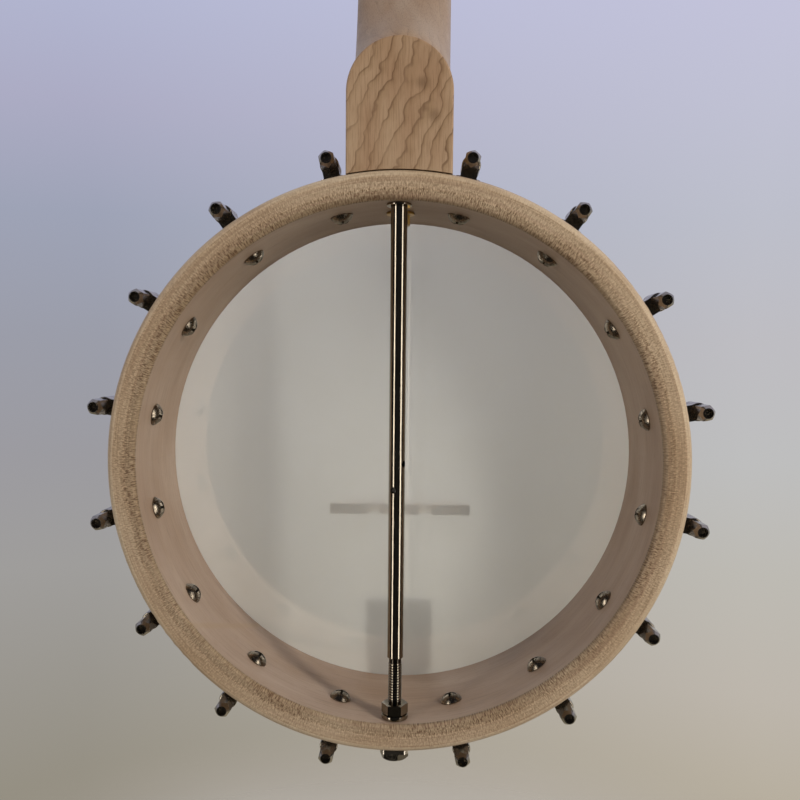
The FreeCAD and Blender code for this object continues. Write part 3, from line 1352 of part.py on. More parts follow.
def make_strings():
    """Strings 1 to 4 run to the peghead, the fifth to the peg in the neck's side."""
    posts = {1: (1, "tuner_low"), 2: (1, "tuner_low + tuner_spacing"),
             3: (-1, "tuner_low + tuner_spacing"), 4: (-1, "tuner_low")}
    for index, (side, level) in posts.items():
        gauge = "string_%d_gauge" % index
        nut_x = "%s * nut_string_spacing" % (2.5 - index)
        rest = "-nut_string_height - %s / 2" % gauge
        reach = "(post_waist + %s / 2 + touch_gap)" % gauge
        tangent = frame_point(PEGHEAD, "%d * (tuner_offset - %s)" % (side, reach), level, "winding_height")
        points = [tangent, frame_point(shifted(None, "0", "0", "0"), nut_x, rest, "nut_length"),
                  frame_point(shifted(None, "0", "0", "0"), nut_x, rest, "0")]
        points += bridge_and_tail(3 - index, gauge)
        wire_through("string_%d" % index, points, number(gauge))
        frame = shifted(PEGHEAD, "%d * tuner_offset" % side, level,
                        "winding_height - winding_start * " + gauge)
        make_winding(index, frame, "post_waist", gauge)

    gauge = "string_5_gauge"
    middle = "(peg_post_start + peg_post_finish) / 2"
    high = "peg_depth - peg_post_waist - %s / 2 - touch_gap" % gauge
    rest = "-pip_string_height - %s / 2" % gauge
    here = shifted(None, "0", "0", "0")
    points = [frame_point(here, "-(%s)" % middle, high, "-peg_from_nut"),
              frame_point(here, "-pip_offset", rest, "pip_radius - pip_from_nut"),
              frame_point(here, "-pip_offset", rest, "-pip_radius - pip_from_nut")]
    points += bridge_and_tail(-2, gauge)
    wire_through("string_5", points, number(gauge))
    frame = shifted(None, "0", "peg_depth", "-peg_from_nut", "0; 1; 0", "-90")
    first_turn = shifted(frame, "0", "0", "%s - winding_start * %s" % (middle, gauge))
    make_winding(5, first_turn, "peg_post_waist", gauge)


make_rim()
make_head()
make_shoes()
make_shoe_screws()
make_hooks()
make_hook_nuts()
make_rod()
make_rod_hardware()
make_tailpiece()
make_bridge()
fret_slots = make_frets()
board_dots = make_dots()
make_nuts()
make_neck(fret_slots, board_dots)
make_tuner_fittings()
make_tuner(1, 1, "tuner_low")
make_tuner(2, 1, "tuner_low + tuner_spacing")
make_tuner(3, -1, "tuner_low + tuner_spacing")
make_tuner(4, -1, "tuner_low")
make_fifth_peg()
make_strings()
doc.recompute()

for item in doc.Objects:
    if "Invalid" in item.State or "Error" in item.State:
        raise RuntimeError("%s failed: %s" % (item.Label, item.State))
for item in parts:
    if item.Shape.isNull() or not item.Shape.isValid():
        raise RuntimeError(item.Label + " has no valid shape")

os.makedirs("parts", exist_ok=True)
for item in parts:
    item.Shape.exportStep("parts/%s.step" % item.Label)
    print("%-20s %2d solid(s) %10.1f mm3" % (item.Label, len(item.Shape.Solids), item.Shape.Volume))
print(len(parts), "pieces")
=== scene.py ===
import bpy
import json
import math
import numpy as np
from mathutils import Euler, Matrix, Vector

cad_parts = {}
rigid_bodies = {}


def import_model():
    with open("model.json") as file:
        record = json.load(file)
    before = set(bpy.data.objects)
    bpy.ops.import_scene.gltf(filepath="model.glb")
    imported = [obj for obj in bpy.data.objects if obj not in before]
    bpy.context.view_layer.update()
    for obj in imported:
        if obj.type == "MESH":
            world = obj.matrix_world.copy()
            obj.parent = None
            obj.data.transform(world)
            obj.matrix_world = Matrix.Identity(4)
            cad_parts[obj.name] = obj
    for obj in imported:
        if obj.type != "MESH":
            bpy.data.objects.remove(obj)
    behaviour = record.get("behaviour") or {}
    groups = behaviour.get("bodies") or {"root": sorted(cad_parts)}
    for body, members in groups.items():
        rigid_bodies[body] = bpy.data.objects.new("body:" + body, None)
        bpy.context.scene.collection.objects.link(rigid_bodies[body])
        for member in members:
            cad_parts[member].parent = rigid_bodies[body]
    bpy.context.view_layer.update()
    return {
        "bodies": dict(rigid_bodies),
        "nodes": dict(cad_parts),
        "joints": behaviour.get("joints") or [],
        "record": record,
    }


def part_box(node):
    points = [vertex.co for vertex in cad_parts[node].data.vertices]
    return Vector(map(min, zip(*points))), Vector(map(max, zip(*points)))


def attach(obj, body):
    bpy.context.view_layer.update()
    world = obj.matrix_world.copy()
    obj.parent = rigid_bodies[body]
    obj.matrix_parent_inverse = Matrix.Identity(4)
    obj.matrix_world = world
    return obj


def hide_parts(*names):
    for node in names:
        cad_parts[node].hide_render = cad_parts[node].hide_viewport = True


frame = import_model()
bodies, nodes = frame["bodies"], frame["nodes"]
scene = bpy.context.scene
scene.view_settings.view_transform = "Standard"

# the pot's centre, back plane and outer radius in metres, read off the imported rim
rimLow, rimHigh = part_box("rim")
potCentre = (rimLow.z + rimHigh.z) / 2
backPlane = rimHigh.y
rimRadius = (rimHigh.x - rimLow.x) / 2
wallThickness, meanRadius = 13.85, 132.8  # the rim's wall, mm


def linearColour(text):
    # sRGB hex to the linear colour that a shader takes
    channels = [int(text[start:start + 2], 16) / 255 for start in (0, 2, 4)]
    return [c / 12.92 if c <= 0.04045 else ((c + 0.055) / 1.055) ** 2.4 for c in channels] + [1.0]


def addNode(tree, kind, settings=None, inputs=None):
    # one node with its settings; an input is a number, a hex colour, or what feeds it
    node = tree.nodes.new("ShaderNode" + kind)
    for name, value in (settings or {}).items():
        if name == "stops":
            elements = node.color_ramp.elements
            while len(elements) > 1:
                elements.remove(elements[-1])
            elements[0].position = value[0][0]
            elements[0].color = linearColour(value[0][1])
            for place, colour in value[1:]:
                elements.new(place).color = linearColour(colour)
        else:
            setattr(node, name, value)
    for name, value in (inputs or {}).items():
        if isinstance(value, str):
            value = linearColour(value)
        if isinstance(value, bpy.types.Node):
            value = value.outputs[0]
        if isinstance(value, bpy.types.NodeSocket):
            tree.links.new(value, node.inputs[name])
        else:
            node.inputs[name].default_value = value
    return node


def newMaterial(name, settings):
    # a material with one Principled shader; settings are its sockets' fixed values
    material = bpy.data.materials.new(name)
    material.use_nodes = True
    tree = material.node_tree
    shader = tree.nodes["Principled BSDF"]
    for label, value in settings.items():
        shader.inputs[label].default_value = value
    return material, tree, shader


def feedShader(tree, shader, colour, height, relief, strength, roughness=None, normal="Normal"):
    # colour, roughness and a bump made from height; relief is the bump's depth in metres
    tree.links.new(colour.outputs[0], shader.inputs["Base Color"])
    if roughness:
        tree.links.new(roughness.outputs[0], shader.inputs["Roughness"])
    bump = addNode(tree, "Bump", {}, {
        "Height": height, "Distance": relief, "Strength": strength})
    tree.links.new(bump.outputs[0], shader.inputs[normal])


def inMillimetres(tree, centre=(0, 0, 0)):
    # Object coordinates in mm from a point given in metres
    coords = addNode(tree, "TexCoord")
    away = tuple(-1000 * part for part in centre)
    return addNode(tree, "Mapping", {}, {
        "Vector": coords.outputs["Object"], "Location": away, "Scale": (1000, 1000, 1000)})


def roundThePot(tree):
    # mm round the pot: radius is the distance from its axis, length is the angle from the neck
    # times the wall's mean radius, depth is y, and joined is the three together
    place = addNode(tree, "SeparateXYZ", {}, {0: inMillimetres(tree, (0, 0, potCentre))})
    x, depth, z = place.outputs
    flat = addNode(tree, "CombineXYZ", {}, {0: x, 2: z})
    radius = addNode(tree, "VectorMath", {"operation": "LENGTH"}, {0: flat}).outputs["Value"]
    angle = addNode(tree, "Math", {"operation": "ARCTAN2"}, {0: x, 1: z})
    length = addNode(tree, "Math", {"operation": "MULTIPLY"}, {0: angle, 1: meanRadius})
    joined = addNode(tree, "CombineXYZ", {}, {0: radius, 1: length, 2: depth})
    return joined, radius, length, depth


def patchy(tree, vector, sizes, detail=3.0, roughness=0.55):
    # noise whose patches are as long, in mm, as sizes says along each axis
    scaled = addNode(tree, "VectorMath", {"operation": "DIVIDE"}, {0: vector, 1: sizes})
    return addNode(tree, "TexNoise", {}, {
        "Vector": scaled, "Scale": 1.0, "Detail": detail, "Roughness": roughness})


def tintBy(tree, base, amount, pattern, stops):
    # base multiplied by a ramp of the pattern, where white leaves it as it is
    shade = addNode(tree, "ValToRGB", {"stops": stops}, {0: pattern})
    return addNode(tree, "MixRGB", {"blend_type": "MULTIPLY"}, {
        "Fac": amount, "Color1": base, "Color2": shade})


def paintMarks(tree, base, colour, mark, masks=()):
    # colour over base where the mark is, times every mask
    for mask in masks:
        mark = addNode(tree, "Math", {"operation": "MULTIPLY"}, {0: mark, 1: mask})
    return addNode(tree, "MixRGB", {}, {"Fac": mark, "Color1": base, "Color2": colour})


# Three plies of hard maple bent round and glued, turned on a lathe, satin lacquer:
# plies of slightly different tan with dark glue lines, short dark rays on the cut edge.
# Sizes are in mm across the plies, along the bend and through the depth;
# a scarf is its angle from the neck and the part of the wall that it crosses
rimWood = {
    "innerPly": "917e63", "middlePly": "9f8b6f", "outerPly": "b09d81",
    "wall": "957f6d", "wallPale": "a69079", "glue": "9a8265", "drift": "dfd3c6",
    "fibre": "b4a48f", "fibreSize": (0.55, 26, 0.55),
    "ray": "583e26", "raySize": (2.0, 0.62, 40),
    "fleck": "c4ac8c", "fleckSize": (1.3, 0.7, 40),
    "growth": "846a54", "growthSize": (1.1, 120, 60),
    "pore": "79604a", "poreSize": (0.5, 7, 0.5),
    "innerGlueLine": 130.9, "outerGlueLine": 136.2, "glueWidth": 0.35, "waver": 0.5,
    "edgeStarts": 3.4, "edgeIsFull": 2.2,
    "scarfs": ((-129.0, 0.36, 1.0), (119.0, 0.0, 0.36)),
    "scarfWidth": 0.35, "scarfSlope": 8.0, "scarfLean": 0.45,
}


def bentMaple():
    material, tree, shader = newMaterial("bentMapleSatinLacquer", {"IOR": 1.5})
    joined, radius, length, depth = roundThePot(tree)
    inner, width = rimRadius * 1000 - wallThickness, wallThickness
    back = backPlane * 1000

    # the plies, from 0 at the wall's inside to 1 at its outside, with slightly wavy glue lines
    waver = patchy(tree, joined, (30, 60, 30), 1.0)
    wavy = addNode(tree, "Math", {"operation": "MULTIPLY_ADD"}, {
        0: waver, 1: rimWood["waver"], 2: radius})
    across = addNode(tree, "MapRange", {}, {
        "Value": wavy, "From Min": inner + rimWood["waver"] / 2,
        "From Max": inner + width + rimWood["waver"] / 2})
    first = (rimWood["innerGlueLine"] - inner) / width
    second = (rimWood["outerGlueLine"] - inner) / width
    half = rimWood["glueWidth"] / width
    plies = addNode(tree, "ValToRGB", {"stops": (
        (0, rimWood["innerPly"]), (first - half, rimWood["innerPly"]),
        (first, rimWood["glue"]), (first + half, rimWood["middlePly"]),
        (second - half, rimWood["middlePly"]), (second, rimWood["glue"]),
        (second + half, rimWood["outerPly"]), (1, rimWood["outerPly"]))}, {0: across})

    # the turned back edge shows the plies' edges; the walls show the ply's own face
    onEdge = addNode(tree, "MapRange", {"interpolation_type": "SMOOTHSTEP"}, {
        "Value": depth, "From Min": back - rimWood["edgeStarts"],
        "From Max": back - rimWood["edgeIsFull"]})
    offEdge = addNode(tree, "Math", {"operation": "SUBTRACT"}, {0: 1.0, 1: onEdge})
    wallTint = addNode(tree, "MixRGB", {}, {
        "Fac": patchy(tree, joined, (6, 90, 7), 4.0),
        "Color1": rimWood["wall"], "Color2": rimWood["wallPale"]})
    base = addNode(tree, "MixRGB", {}, {"Fac": onEdge, "Color1": wallTint, "Color2": plies})

    # fine fibres along the bend, 0.5 mm wide
    fibres = patchy(tree, joined, rimWood["fibreSize"], 3.0, 0.6)
    base = tintBy(tree, base, 0.42, fibres, (
        (0.36, rimWood["fibre"]), (0.5, "ffffff"), (0.62, "ffffff")))

    # rays: dark dashes 0.6 mm wide and 2 mm long, across the plies, densest on the inner one
    dashes = addNode(tree, "MapRange", {}, {
        "Value": patchy(tree, joined, rimWood["raySize"], 1.0, 0.4),
        "From Min": 0.47, "From Max": 0.58, "To Max": 0.95})
    stretches = addNode(tree, "MapRange", {}, {
        "Value": patchy(tree, joined, (40, 34, 40), 1.0),
        "From Min": 0.34, "From Max": 0.55, "To Min": 0.4, "To Max": 1.0})
    reach = addNode(tree, "ValToRGB", {"stops": (
        (0, "ffffff"), (first, "f4f4f4"), (first + 0.05, "bcbcbc"),
        (second, "9c9c9c"), (1, "505050"))}, {0: across})
    base = paintMarks(tree, base, rimWood["ray"], dashes, (stretches, reach, onEdge))

    # and pale flecks between them, a little wider and shorter
    flecks = addNode(tree, "MapRange", {}, {
        "Value": patchy(tree, joined, rimWood["fleckSize"], 1.0),
        "From Min": 0.5, "From Max": 0.7})
    fewer = addNode(tree, "ValToRGB", {"stops": (
        (0, "808080"), (first, "d0d0d0"), (second, "b8b8b8"), (1, "707070"))}, {0: across})
    base = paintMarks(tree, base, rimWood["fleck"], flecks, (onEdge, fewer))

    # thin brown growth lines along the bend, about 1.5 mm apart on the edge
    growth = addNode(tree, "MapRange", {}, {
        "Value": patchy(tree, joined, rimWood["growthSize"], 2.0, 0.5),
        "From Min": 0.52, "From Max": 0.66, "To Max": 0.42})
    base = paintMarks(tree, base, rimWood["growth"], growth, (onEdge,))

    # a few long dark pores on the walls, 0.3 mm wide
    pores = addNode(tree, "MapRange", {}, {
        "Value": patchy(tree, joined, rimWood["poreSize"], 1.0, 0.4),
        "From Min": 0.7, "From Max": 0.76, "To Max": 0.6})
    base = paintMarks(tree, base, rimWood["pore"], pores, (offEdge,))

    # scarf joints: a slanting glue line through the plies, one in 8
    slope, lean = rimWood["scarfSlope"], rimWood["scarfLean"]
    slant = addNode(tree, "Math", {"operation": "MULTIPLY_ADD"}, {0: radius, 1: slope, 2: length})
    slant = addNode(tree, "Math", {"operation": "MULTIPLY_ADD"}, {0: depth, 1: lean, 2: slant})
    for scarf, lowest, highest in rimWood["scarfs"]:
        middle = (math.radians(scarf) * meanRadius + lean * back
                  + slope * (inner + width * (lowest + highest) / 2))
        off = addNode(tree, "Math", {"operation": "SUBTRACT"}, {0: slant, 1: middle})
        off = addNode(tree, "Math", {"operation": "ABSOLUTE"}, {0: off})
        line = addNode(tree, "MapRange", {}, {
            "Value": off, "From Min": rimWood["scarfWidth"] * slope, "From Max": 0.8,
            "To Min": 0.0, "To Max": 0.55})
        above = addNode(tree, "Math", {"operation": "GREATER_THAN"}, {0: across, 1: lowest - 0.02})
        below = addNode(tree, "Math", {"operation": "LESS_THAN"}, {0: across, 1: highest})
        base = paintMarks(tree, base, rimWood["glue"], line, (above, below))

    # broad drifts of lighter and darker wood
    base = tintBy(tree, base, 0.8, patchy(tree, joined, (20, 70, 25), 2.0), (
        (0.3, rimWood["drift"]), (0.7, "ffffff")))
    dull = addNode(tree, "MapRange", {}, {"Value": fibres, "To Min": 0.38, "To Max": 0.56})
    feedShader(tree, shader, base, fibres, 0.00012, 0.5, dull)
    return material


# Flat-sawn hard maple, carved and sanded, satin lacquer: wandering brown ring lines about 7 mm
# apart. Sizes are in mm; a knot is its x and its height above the pot's centre
neckWood = {
    # the shaft's colour is a greyer tone of the same wood, a painted cool sheen of light from the
    # sky
    "light": "997f62", "dark": "8d7355", "line": "6e543b", "knot": "664e35", "shaft": "91806f",
    "fibre": "bcae9c", "fibreSize": (0.45, 0.45, 11), "drift": "e4d6cc",
    "ringSpacing": 7.0, "lean": 0.40, "heelTop": -430.0,
    "shaftBack": 38.0, "shaftFade": 14, "shaftCalm": 0.78,
    "nutFrom": -10.0, "nutTo": 25.0, "pegheadCalm": 0.45,
    "knots": ((-10.5, 178.0), (-16.0, 163.5)), "knotSize": 4.5,
}


def carvedMaple():
    material, tree, shader = newMaterial("flatSawnMapleSatinLacquer", {"IOR": 1.5})
    place = inMillimetres(tree)
    x, y, z = addNode(tree, "SeparateXYZ", {}, {0: place}).outputs

    # across the rings: x and some depth, leaning through the heel, pushed about by slow noise
    below = addNode(tree, "Math", {"operation": "SUBTRACT"}, {0: z, 1: neckWood["heelTop"]})
    below = addNode(tree, "Math", {"operation": "MINIMUM"}, {0: below, 1: 0.0})
    sway = patchy(tree, place, (30, 30, 34), 2.0, 0.45)
    wiggle = patchy(tree, place, (8, 14, 7), 1.5, 0.45)
    across = x
    for push, amount in ((y, 0.55), (below, neckWood["lean"]), (sway, 16.0), (wiggle, 8.0)):
        across = addNode(tree, "Math", {"operation": "MULTIPLY_ADD"}, {
            0: push, 1: amount, 2: across})

    # knots draw the rings round themselves
    knotMark = None
    for knotX, knotZ in neckWood["knots"]:
        spot = (knotX / 1000, 0, potCentre + knotZ / 1000)
        near = addNode(tree, "SeparateXYZ", {}, {0: inMillimetres(tree, spot)})
        flat = addNode(tree, "CombineXYZ", {}, {0: near.outputs[0], 1: near.outputs[2]})
        away = addNode(tree, "VectorMath", {"operation": "LENGTH"}, {0: flat}).outputs["Value"]
        pull = addNode(tree, "MapRange", {"interpolation_type": "SMOOTHSTEP"}, {
            "Value": away, "From Min": 0.0, "From Max": neckWood["knotSize"] * 2.4,
            "To Min": 1.0, "To Max": 0.0})
        across = addNode(tree, "Math", {"operation": "MULTIPLY_ADD"}, {0: pull, 1: 4.0, 2: across})
        core = addNode(tree, "MapRange", {"interpolation_type": "SMOOTHSTEP"}, {
            "Value": away, "From Min": 0.4, "From Max": neckWood["knotSize"],
            "To Min": 0.55, "To Max": 0.0})
        knotMark = core if knotMark is None else addNode(
            tree, "Math", {"operation": "MAXIMUM"}, {0: knotMark, 1: core})

    # each year's ring: pale early wood that darkens slowly to a thin brown line
    ring = addNode(tree, "Math", {"operation": "DIVIDE"}, {0: across, 1: neckWood["ringSpacing"]})
    ring = addNode(tree, "Math", {"operation": "FRACT"}, {0: ring})
    rings = addNode(tree, "ValToRGB", {"stops": (
        (0.0, neckWood["line"]), (0.05, neckWood["light"]), (0.45, neckWood["light"]),
        (0.86, neckWood["dark"]), (0.97, neckWood["line"]), (1.0, neckWood["line"]))}, {0: ring})

    # the rings fade in places, and on the shaft between the heel and the nut
    faded = addNode(tree, "MapRange", {}, {
        "Value": patchy(tree, place, (12, 20, 26), 2.0),
        "From Min": 0.35, "From Max": 0.62, "To Min": 0.42, "To Max": 0.95})
    onShaft = addNode(tree, "MapRange", {"interpolation_type": "SMOOTHSTEP"}, {
        "Value": y, "From Min": neckWood["shaftBack"],
        "From Max": neckWood["shaftBack"] + neckWood["shaftFade"], "To Min": 1.0, "To Max": 0.0})
    belowNut = addNode(tree, "MapRange", {"interpolation_type": "SMOOTHSTEP"}, {
        "Value": z, "From Min": neckWood["nutFrom"], "From Max": neckWood["nutTo"],
        "To Min": 1.0, "To Max": neckWood["pegheadCalm"]})
    onShaft = addNode(tree, "Math", {"operation": "MULTIPLY"}, {0: onShaft, 1: belowNut})
    calm = addNode(tree, "Math", {"operation": "MULTIPLY_ADD"}, {
        0: onShaft, 1: -neckWood["shaftCalm"], 2: 1.0})
    # the shaft is the same wood as the heel, painted greyer there: a painted cool sheen of light
    # from the sky above it
    wood = addNode(tree, "MixRGB", {}, {
        "Fac": onShaft, "Color1": neckWood["light"], "Color2": neckWood["shaft"]})
    base = paintMarks(tree, wood, rings, faded, (calm,))
    base = paintMarks(tree, base, neckWood["knot"], knotMark)

    # fibres 0.4 mm wide along the neck, and broad drifts of lighter and darker wood
    fibres = patchy(tree, place, neckWood["fibreSize"], 3.0, 0.6)
    base = tintBy(tree, base, 0.4, fibres, (
        (0.36, neckWood["fibre"]), (0.52, "ffffff"), (0.7, "ffffff")))
    base = tintBy(tree, base, 0.8, patchy(tree, place, (16, 16, 48), 2.0), (
        (0.32, neckWood["drift"]), (0.68, "ffffff")))
    dull = addNode(tree, "MapRange", {}, {"Value": fibres, "To Min": 0.34, "To Max": 0.5})
    feedShader(tree, shader, base, fibres, 0.0001, 0.4, dull)
    return material


def plainWood(name, light, dark, fibre, roughness):
    # sanded wood for the bridge and its cap; the grain runs across the head
    material, tree, shader = newMaterial(name, {"Roughness": roughness, "IOR": 1.5})
    place = inMillimetres(tree)
    bands = patchy(tree, place, (34, 1.6, 1.6), 3.0)
    base = addNode(tree, "ValToRGB", {"stops": ((0.3, dark), (0.65, light))}, {0: bands})
    pores = patchy(tree, place, (3.5, 0.22, 0.22), 2.0)
    base = tintBy(tree, base, 0.7, pores, ((0.36, fibre), (0.46, "ffffff")))
    feedShader(tree, shader, base, pores, 0.00008, 0.5)
    return material


# Polyester film with a smooth, slightly milky face: grey-white, lets light through softly,
# mirrors the rim's wall at a shallow angle
headFinish = {
    "milk": "ece9dc", "cloud": "f2f0e6", "through": 0.66, "blur": 0.46,
    "gloss": 0.04, "shine": 2.7,
}


def stretchedFilm():
    material, tree, shader = newMaterial("polyesterDrumHead", {
        "IOR": 1.64, "Transmission Weight": headFinish["through"],
        "Roughness": headFinish["blur"], "Coat Weight": 1.0,
        "Coat Roughness": headFinish["gloss"], "Coat IOR": headFinish["shine"]})
    joined = roundThePot(tree)[0]
    base = addNode(tree, "MixRGB", {}, {
        "Fac": patchy(tree, joined, (35, 55, 35), 3.0),
        "Color1": headFinish["milk"], "Color2": headFinish["cloud"]})
    # the film isn't quite flat: ripples a few centimetres long, hundredths of a millimetre high
    ripple = patchy(tree, joined, (30, 45, 30), 1.0)
    feedShader(tree, shader, base, ripple, 0.0001, 0.25, normal="Coat Normal")
    return material


# how long the polishing scratches are along x, y and z, in mm
allWays, alongPot, alongX = (0.5, 0.5, 0.5), (0.25, 0.25, 9), (9, 0.25, 0.25)


def workedMetal(name, colour, tarnish, roughness, scratchSize, wear=0.35, patch=7.0):
    # plated or polished metal: tarnish gathers in soft patches, with fine polishing scratches
    material, tree, shader = newMaterial(name, {"Metallic": 1.0})
    place = inMillimetres(tree)
    smudge = patchy(tree, place, (patch, patch, patch), 4.0, 0.6)
    stain = addNode(tree, "MapRange", {}, {
        "Value": smudge, "From Min": 0.42, "From Max": 0.72, "To Max": wear})
    base = paintMarks(tree, colour, tarnish, stain)
    dull = addNode(tree, "MapRange", {}, {
        "Value": smudge, "From Min": 0.3, "From Max": 0.75,
        "To Min": roughness, "To Max": roughness + 0.16})
    scratches = patchy(tree, place, scratchSize, 3.0, 0.6)
    feedShader(tree, shader, base, scratches, 0.00003, 0.35, dull)
    return material


# mm; the real 1 mm thread is drawn a little coarser so that it shows from a distance.
# Foot and flat are half the ridge's width at its root and crest, as parts of the pitch
thread = {
    "pitch": 1.35, "root": 3.0, "crest": 3.4, "top": 96.6, "bottom": 116.9,
    # the groove colour is painted shade and oil
    "foot": 0.42, "flat": 0.20, "stepsPerTurn": 64, "fadeSteps": 48.0, "grooveOilAndShade": "1d1813",
}


def threadedRod():
    # turned steel, nearly a mirror; the grooves of the thread at its tail end are painted dark,
    # partly as oil and partly as painted shade
    material = workedMetal("turnedSteelRod", "989184", "7b7468", 0.05, alongPot, 0.2)
    tree = material.node_tree
    colour = tree.nodes["Principled BSDF"].inputs["Base Color"]
    rodLow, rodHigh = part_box("coordinator_rod")
    place = addNode(tree, "SeparateXYZ", {}, {0: inMillimetres(tree, (rodLow + rodHigh) / 2)})
    flat = addNode(tree, "CombineXYZ", {}, {0: place.outputs[0], 1: place.outputs[1]})
    radius = addNode(tree, "VectorMath", {"operation": "LENGTH"}, {0: flat}).outputs["Value"]
    # painted shade and oil: the colour darkens towards the roots of the thread's grooves
    groove = addNode(tree, "MapRange", {}, {
        "Value": radius, "From Min": thread["root"] + 0.14, "From Max": thread["crest"] - 0.02,
        "To Min": 0.86, "To Max": 0.0})
    base = paintMarks(tree, colour.links[0].from_node, thread["grooveOilAndShade"], groove)
    tree.links.new(base.outputs[0], colour)
    return material


def pearlButton():
    # cast pearly plastic: pale flakes a few mm across, each tilted its own way
    material, tree, shader = newMaterial("pearlyPlastic", {
        "IOR": 1.5, "Roughness": 0.22, "Coat Weight": 0.4, "Coat Roughness": 0.08})
    place = inMillimetres(tree)
    bend = addNode(tree, "VectorMath", {"operation": "SCALE"}, {
        0: patchy(tree, place, (6, 6, 6), 2.0).outputs["Color"], "Scale": 4.0})
    bent = addNode(tree, "MixRGB", {"blend_type": "ADD"}, {
        "Fac": 1.0, "Color1": place, "Color2": bend})
    flakes = addNode(tree, "TexVoronoi", {"feature": "SMOOTH_F1"}, {
        "Vector": bent, "Scale": 0.32, "Smoothness": 0.35}).outputs["Distance"]
    base = addNode(tree, "ValToRGB", {"stops": (
        (0.0, "d8d0c2"), (0.4, "e6dfd3"), (0.75, "f0ebe2"), (1.0, "ded6c8"))}, {0: flakes})
    feedShader(tree, shader, base, flakes, 0.0001, 0.06)
    return material


def sawnBone():
    # bleached bone, sawn and polished: cream with faint grey streaks
    material, tree, shader = newMaterial("polishedBone", {"IOR": 1.54, "Roughness": 0.32})
    streaks = patchy(tree, inMillimetres(tree), (9, 0.7, 0.7), 3.0)
    base = addNode(tree, "ValToRGB", {"stops": ((0.35, "cfc4ac"), (0.6, "e9e1cd"))}, {0: streaks})
    feedShader(tree, shader, base, streaks, 0.00003, 0.4)
    return material


def inlaidPlastic():
    # black celluloid dot, sanded level with the board: fine hazy scratches
    material, tree, shader = newMaterial("blackCelluloid", {"IOR": 1.5, "Roughness": 0.35})
    haze = patchy(tree, inMillimetres(tree), (0.3, 0.3, 3.0), 3.0)
    base = addNode(tree, "ValToRGB", {"stops": ((0.3, "141312"), (0.7, "262422"))}, {0: haze})
    feedShader(tree, shader, base, haze, 0.00002, 0.4)
    return material


wrapSpacing = 0.6  # mm; the real 0.3 mm turns are drawn wider apart so that they show


def woundString():
    # nickel wire wound close round a steel core, the turns a fixed distance apart along z: each
    # crest is painted lighter and each gap darker, a painted highlight and painted shade
    material, tree, shader = newMaterial("woundNickelString", {"Metallic": 1.0, "Roughness": 0.28})
    place = addNode(tree, "SeparateXYZ", {}, {0: inMillimetres(tree)})
    turns = addNode(tree, "Math", {"operation": "MULTIPLY"}, {
        0: place.outputs[2], 1: 2 * math.pi / wrapSpacing})
    turns = addNode(tree, "Math", {"operation": "SINE"}, {0: turns})
    crestHighlightAndShade = addNode(tree, "MapRange", {}, {"Value": turns, "From Min": -1.0, "From Max": 1.0})
    # painted highlight on the crests, painted shade between them
    base = addNode(tree, "ValToRGB", {"stops": ((0.2, "8b8379"), (0.8, "c8c1b5"))}, {0: crestHighlightAndShade})
    feedShader(tree, shader, base, turns, 0.00008, 0.8)
    return material


# metals: colour, tarnish, roughness, scratches, and then how strong and wide the tarnish is
finishes = {
    "rim_maple": bentMaple(),
    "neck_maple": carvedMaple(),
    "bridge_maple": plainWood("sandedBridgeMaple", "d6ad74", "bf9356", "a5885c", 0.5),
    "ebony": plainWood("sandedEbony", "2c2623", "1b1715", "6a625c", 0.38),
    "head_film": stretchedFilm(),
    "hoop_nickel": workedMetal("nickelPlatedBrassHoop", "cfc8bb", "8e8474", 0.14, allWays),
    "flesh_aluminium": workedMetal("extrudedAluminium", "c4c5c6", "95989a", 0.34, (9, 9, 0.3)),
    "bracket_nickel": workedMetal(
        "nickelPlatedSteelBracket", "ada596", "514838", 0.15, allWays, 0.6),
    "screw_nickel": workedMetal("nickelPlatedScrew", "9c9384", "2f2820", 0.2, allWays, 0.9, 1.2),
    "rod_steel": threadedRod(),
    "lag_steel": workedMetal("zincPlatedSteel", "8f8b82", "5f5a50", 0.22, alongPot),
    "lag_brass": workedMetal("turnedBrass", "c9a765", "7d6234", 0.26, allWays, 0.6),
    "tailpiece_nickel": workedMetal("nickelPlatedTailpiece", "cdc6b9", "8c8273", 0.15, alongX),
    "fret_wire": workedMetal("nickelSilverFret", "d0cabd", "9a9080", 0.2, alongX),
    "dot_black": inlaidPlastic(),
    "nut_bone": sawnBone(),
    "tuner_nickel": workedMetal("nickelPlatedTuner", "ccc5b8", "857b6c", 0.15, allWays),
    "gear_brass": workedMetal("cutBrass", "c8a663", "7b6034", 0.28, allWays, 0.5),
    "button_pearloid": pearlButton(),
    "string_steel": workedMetal("plainSteelString", "c6c5c2", "8d8981", 0.22, alongPot),
    "string_wound": woundString(),
}
for part in frame["record"]["subparts"]:
    piece = nodes[part["node"]]
    for place in piece.material_slots:
        place.link = "OBJECT"
        place.material = finishes[part["material_slot"]]
print("finishes:", len(finishes))


def surfaceMesh(name, rows):
    # rows is a grid of points, (along, across, 3), that closes on itself across
    along, across = rows.shape[:2]
    mesh = bpy.data.meshes.new(name)
    down, over = np.meshgrid(np.arange(along - 1), np.arange(across), indexing="ij")
    here, beside = down * across + over, down * across + (over + 1) % across
    faces = np.stack([here, beside, beside + across, here + across], -1).reshape(-1, 4)
    mesh.from_pydata(rows.reshape(-1, 3), [], faces)
    mesh.update()
    mesh.shade_smooth()
    return mesh


def addPiece(mesh, finish, body):
    piece = bpy.data.objects.new(mesh.name, mesh)
    scene.collection.objects.link(piece)
    mesh.materials.append(finishes[finish])
    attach(piece, body)
    return piece


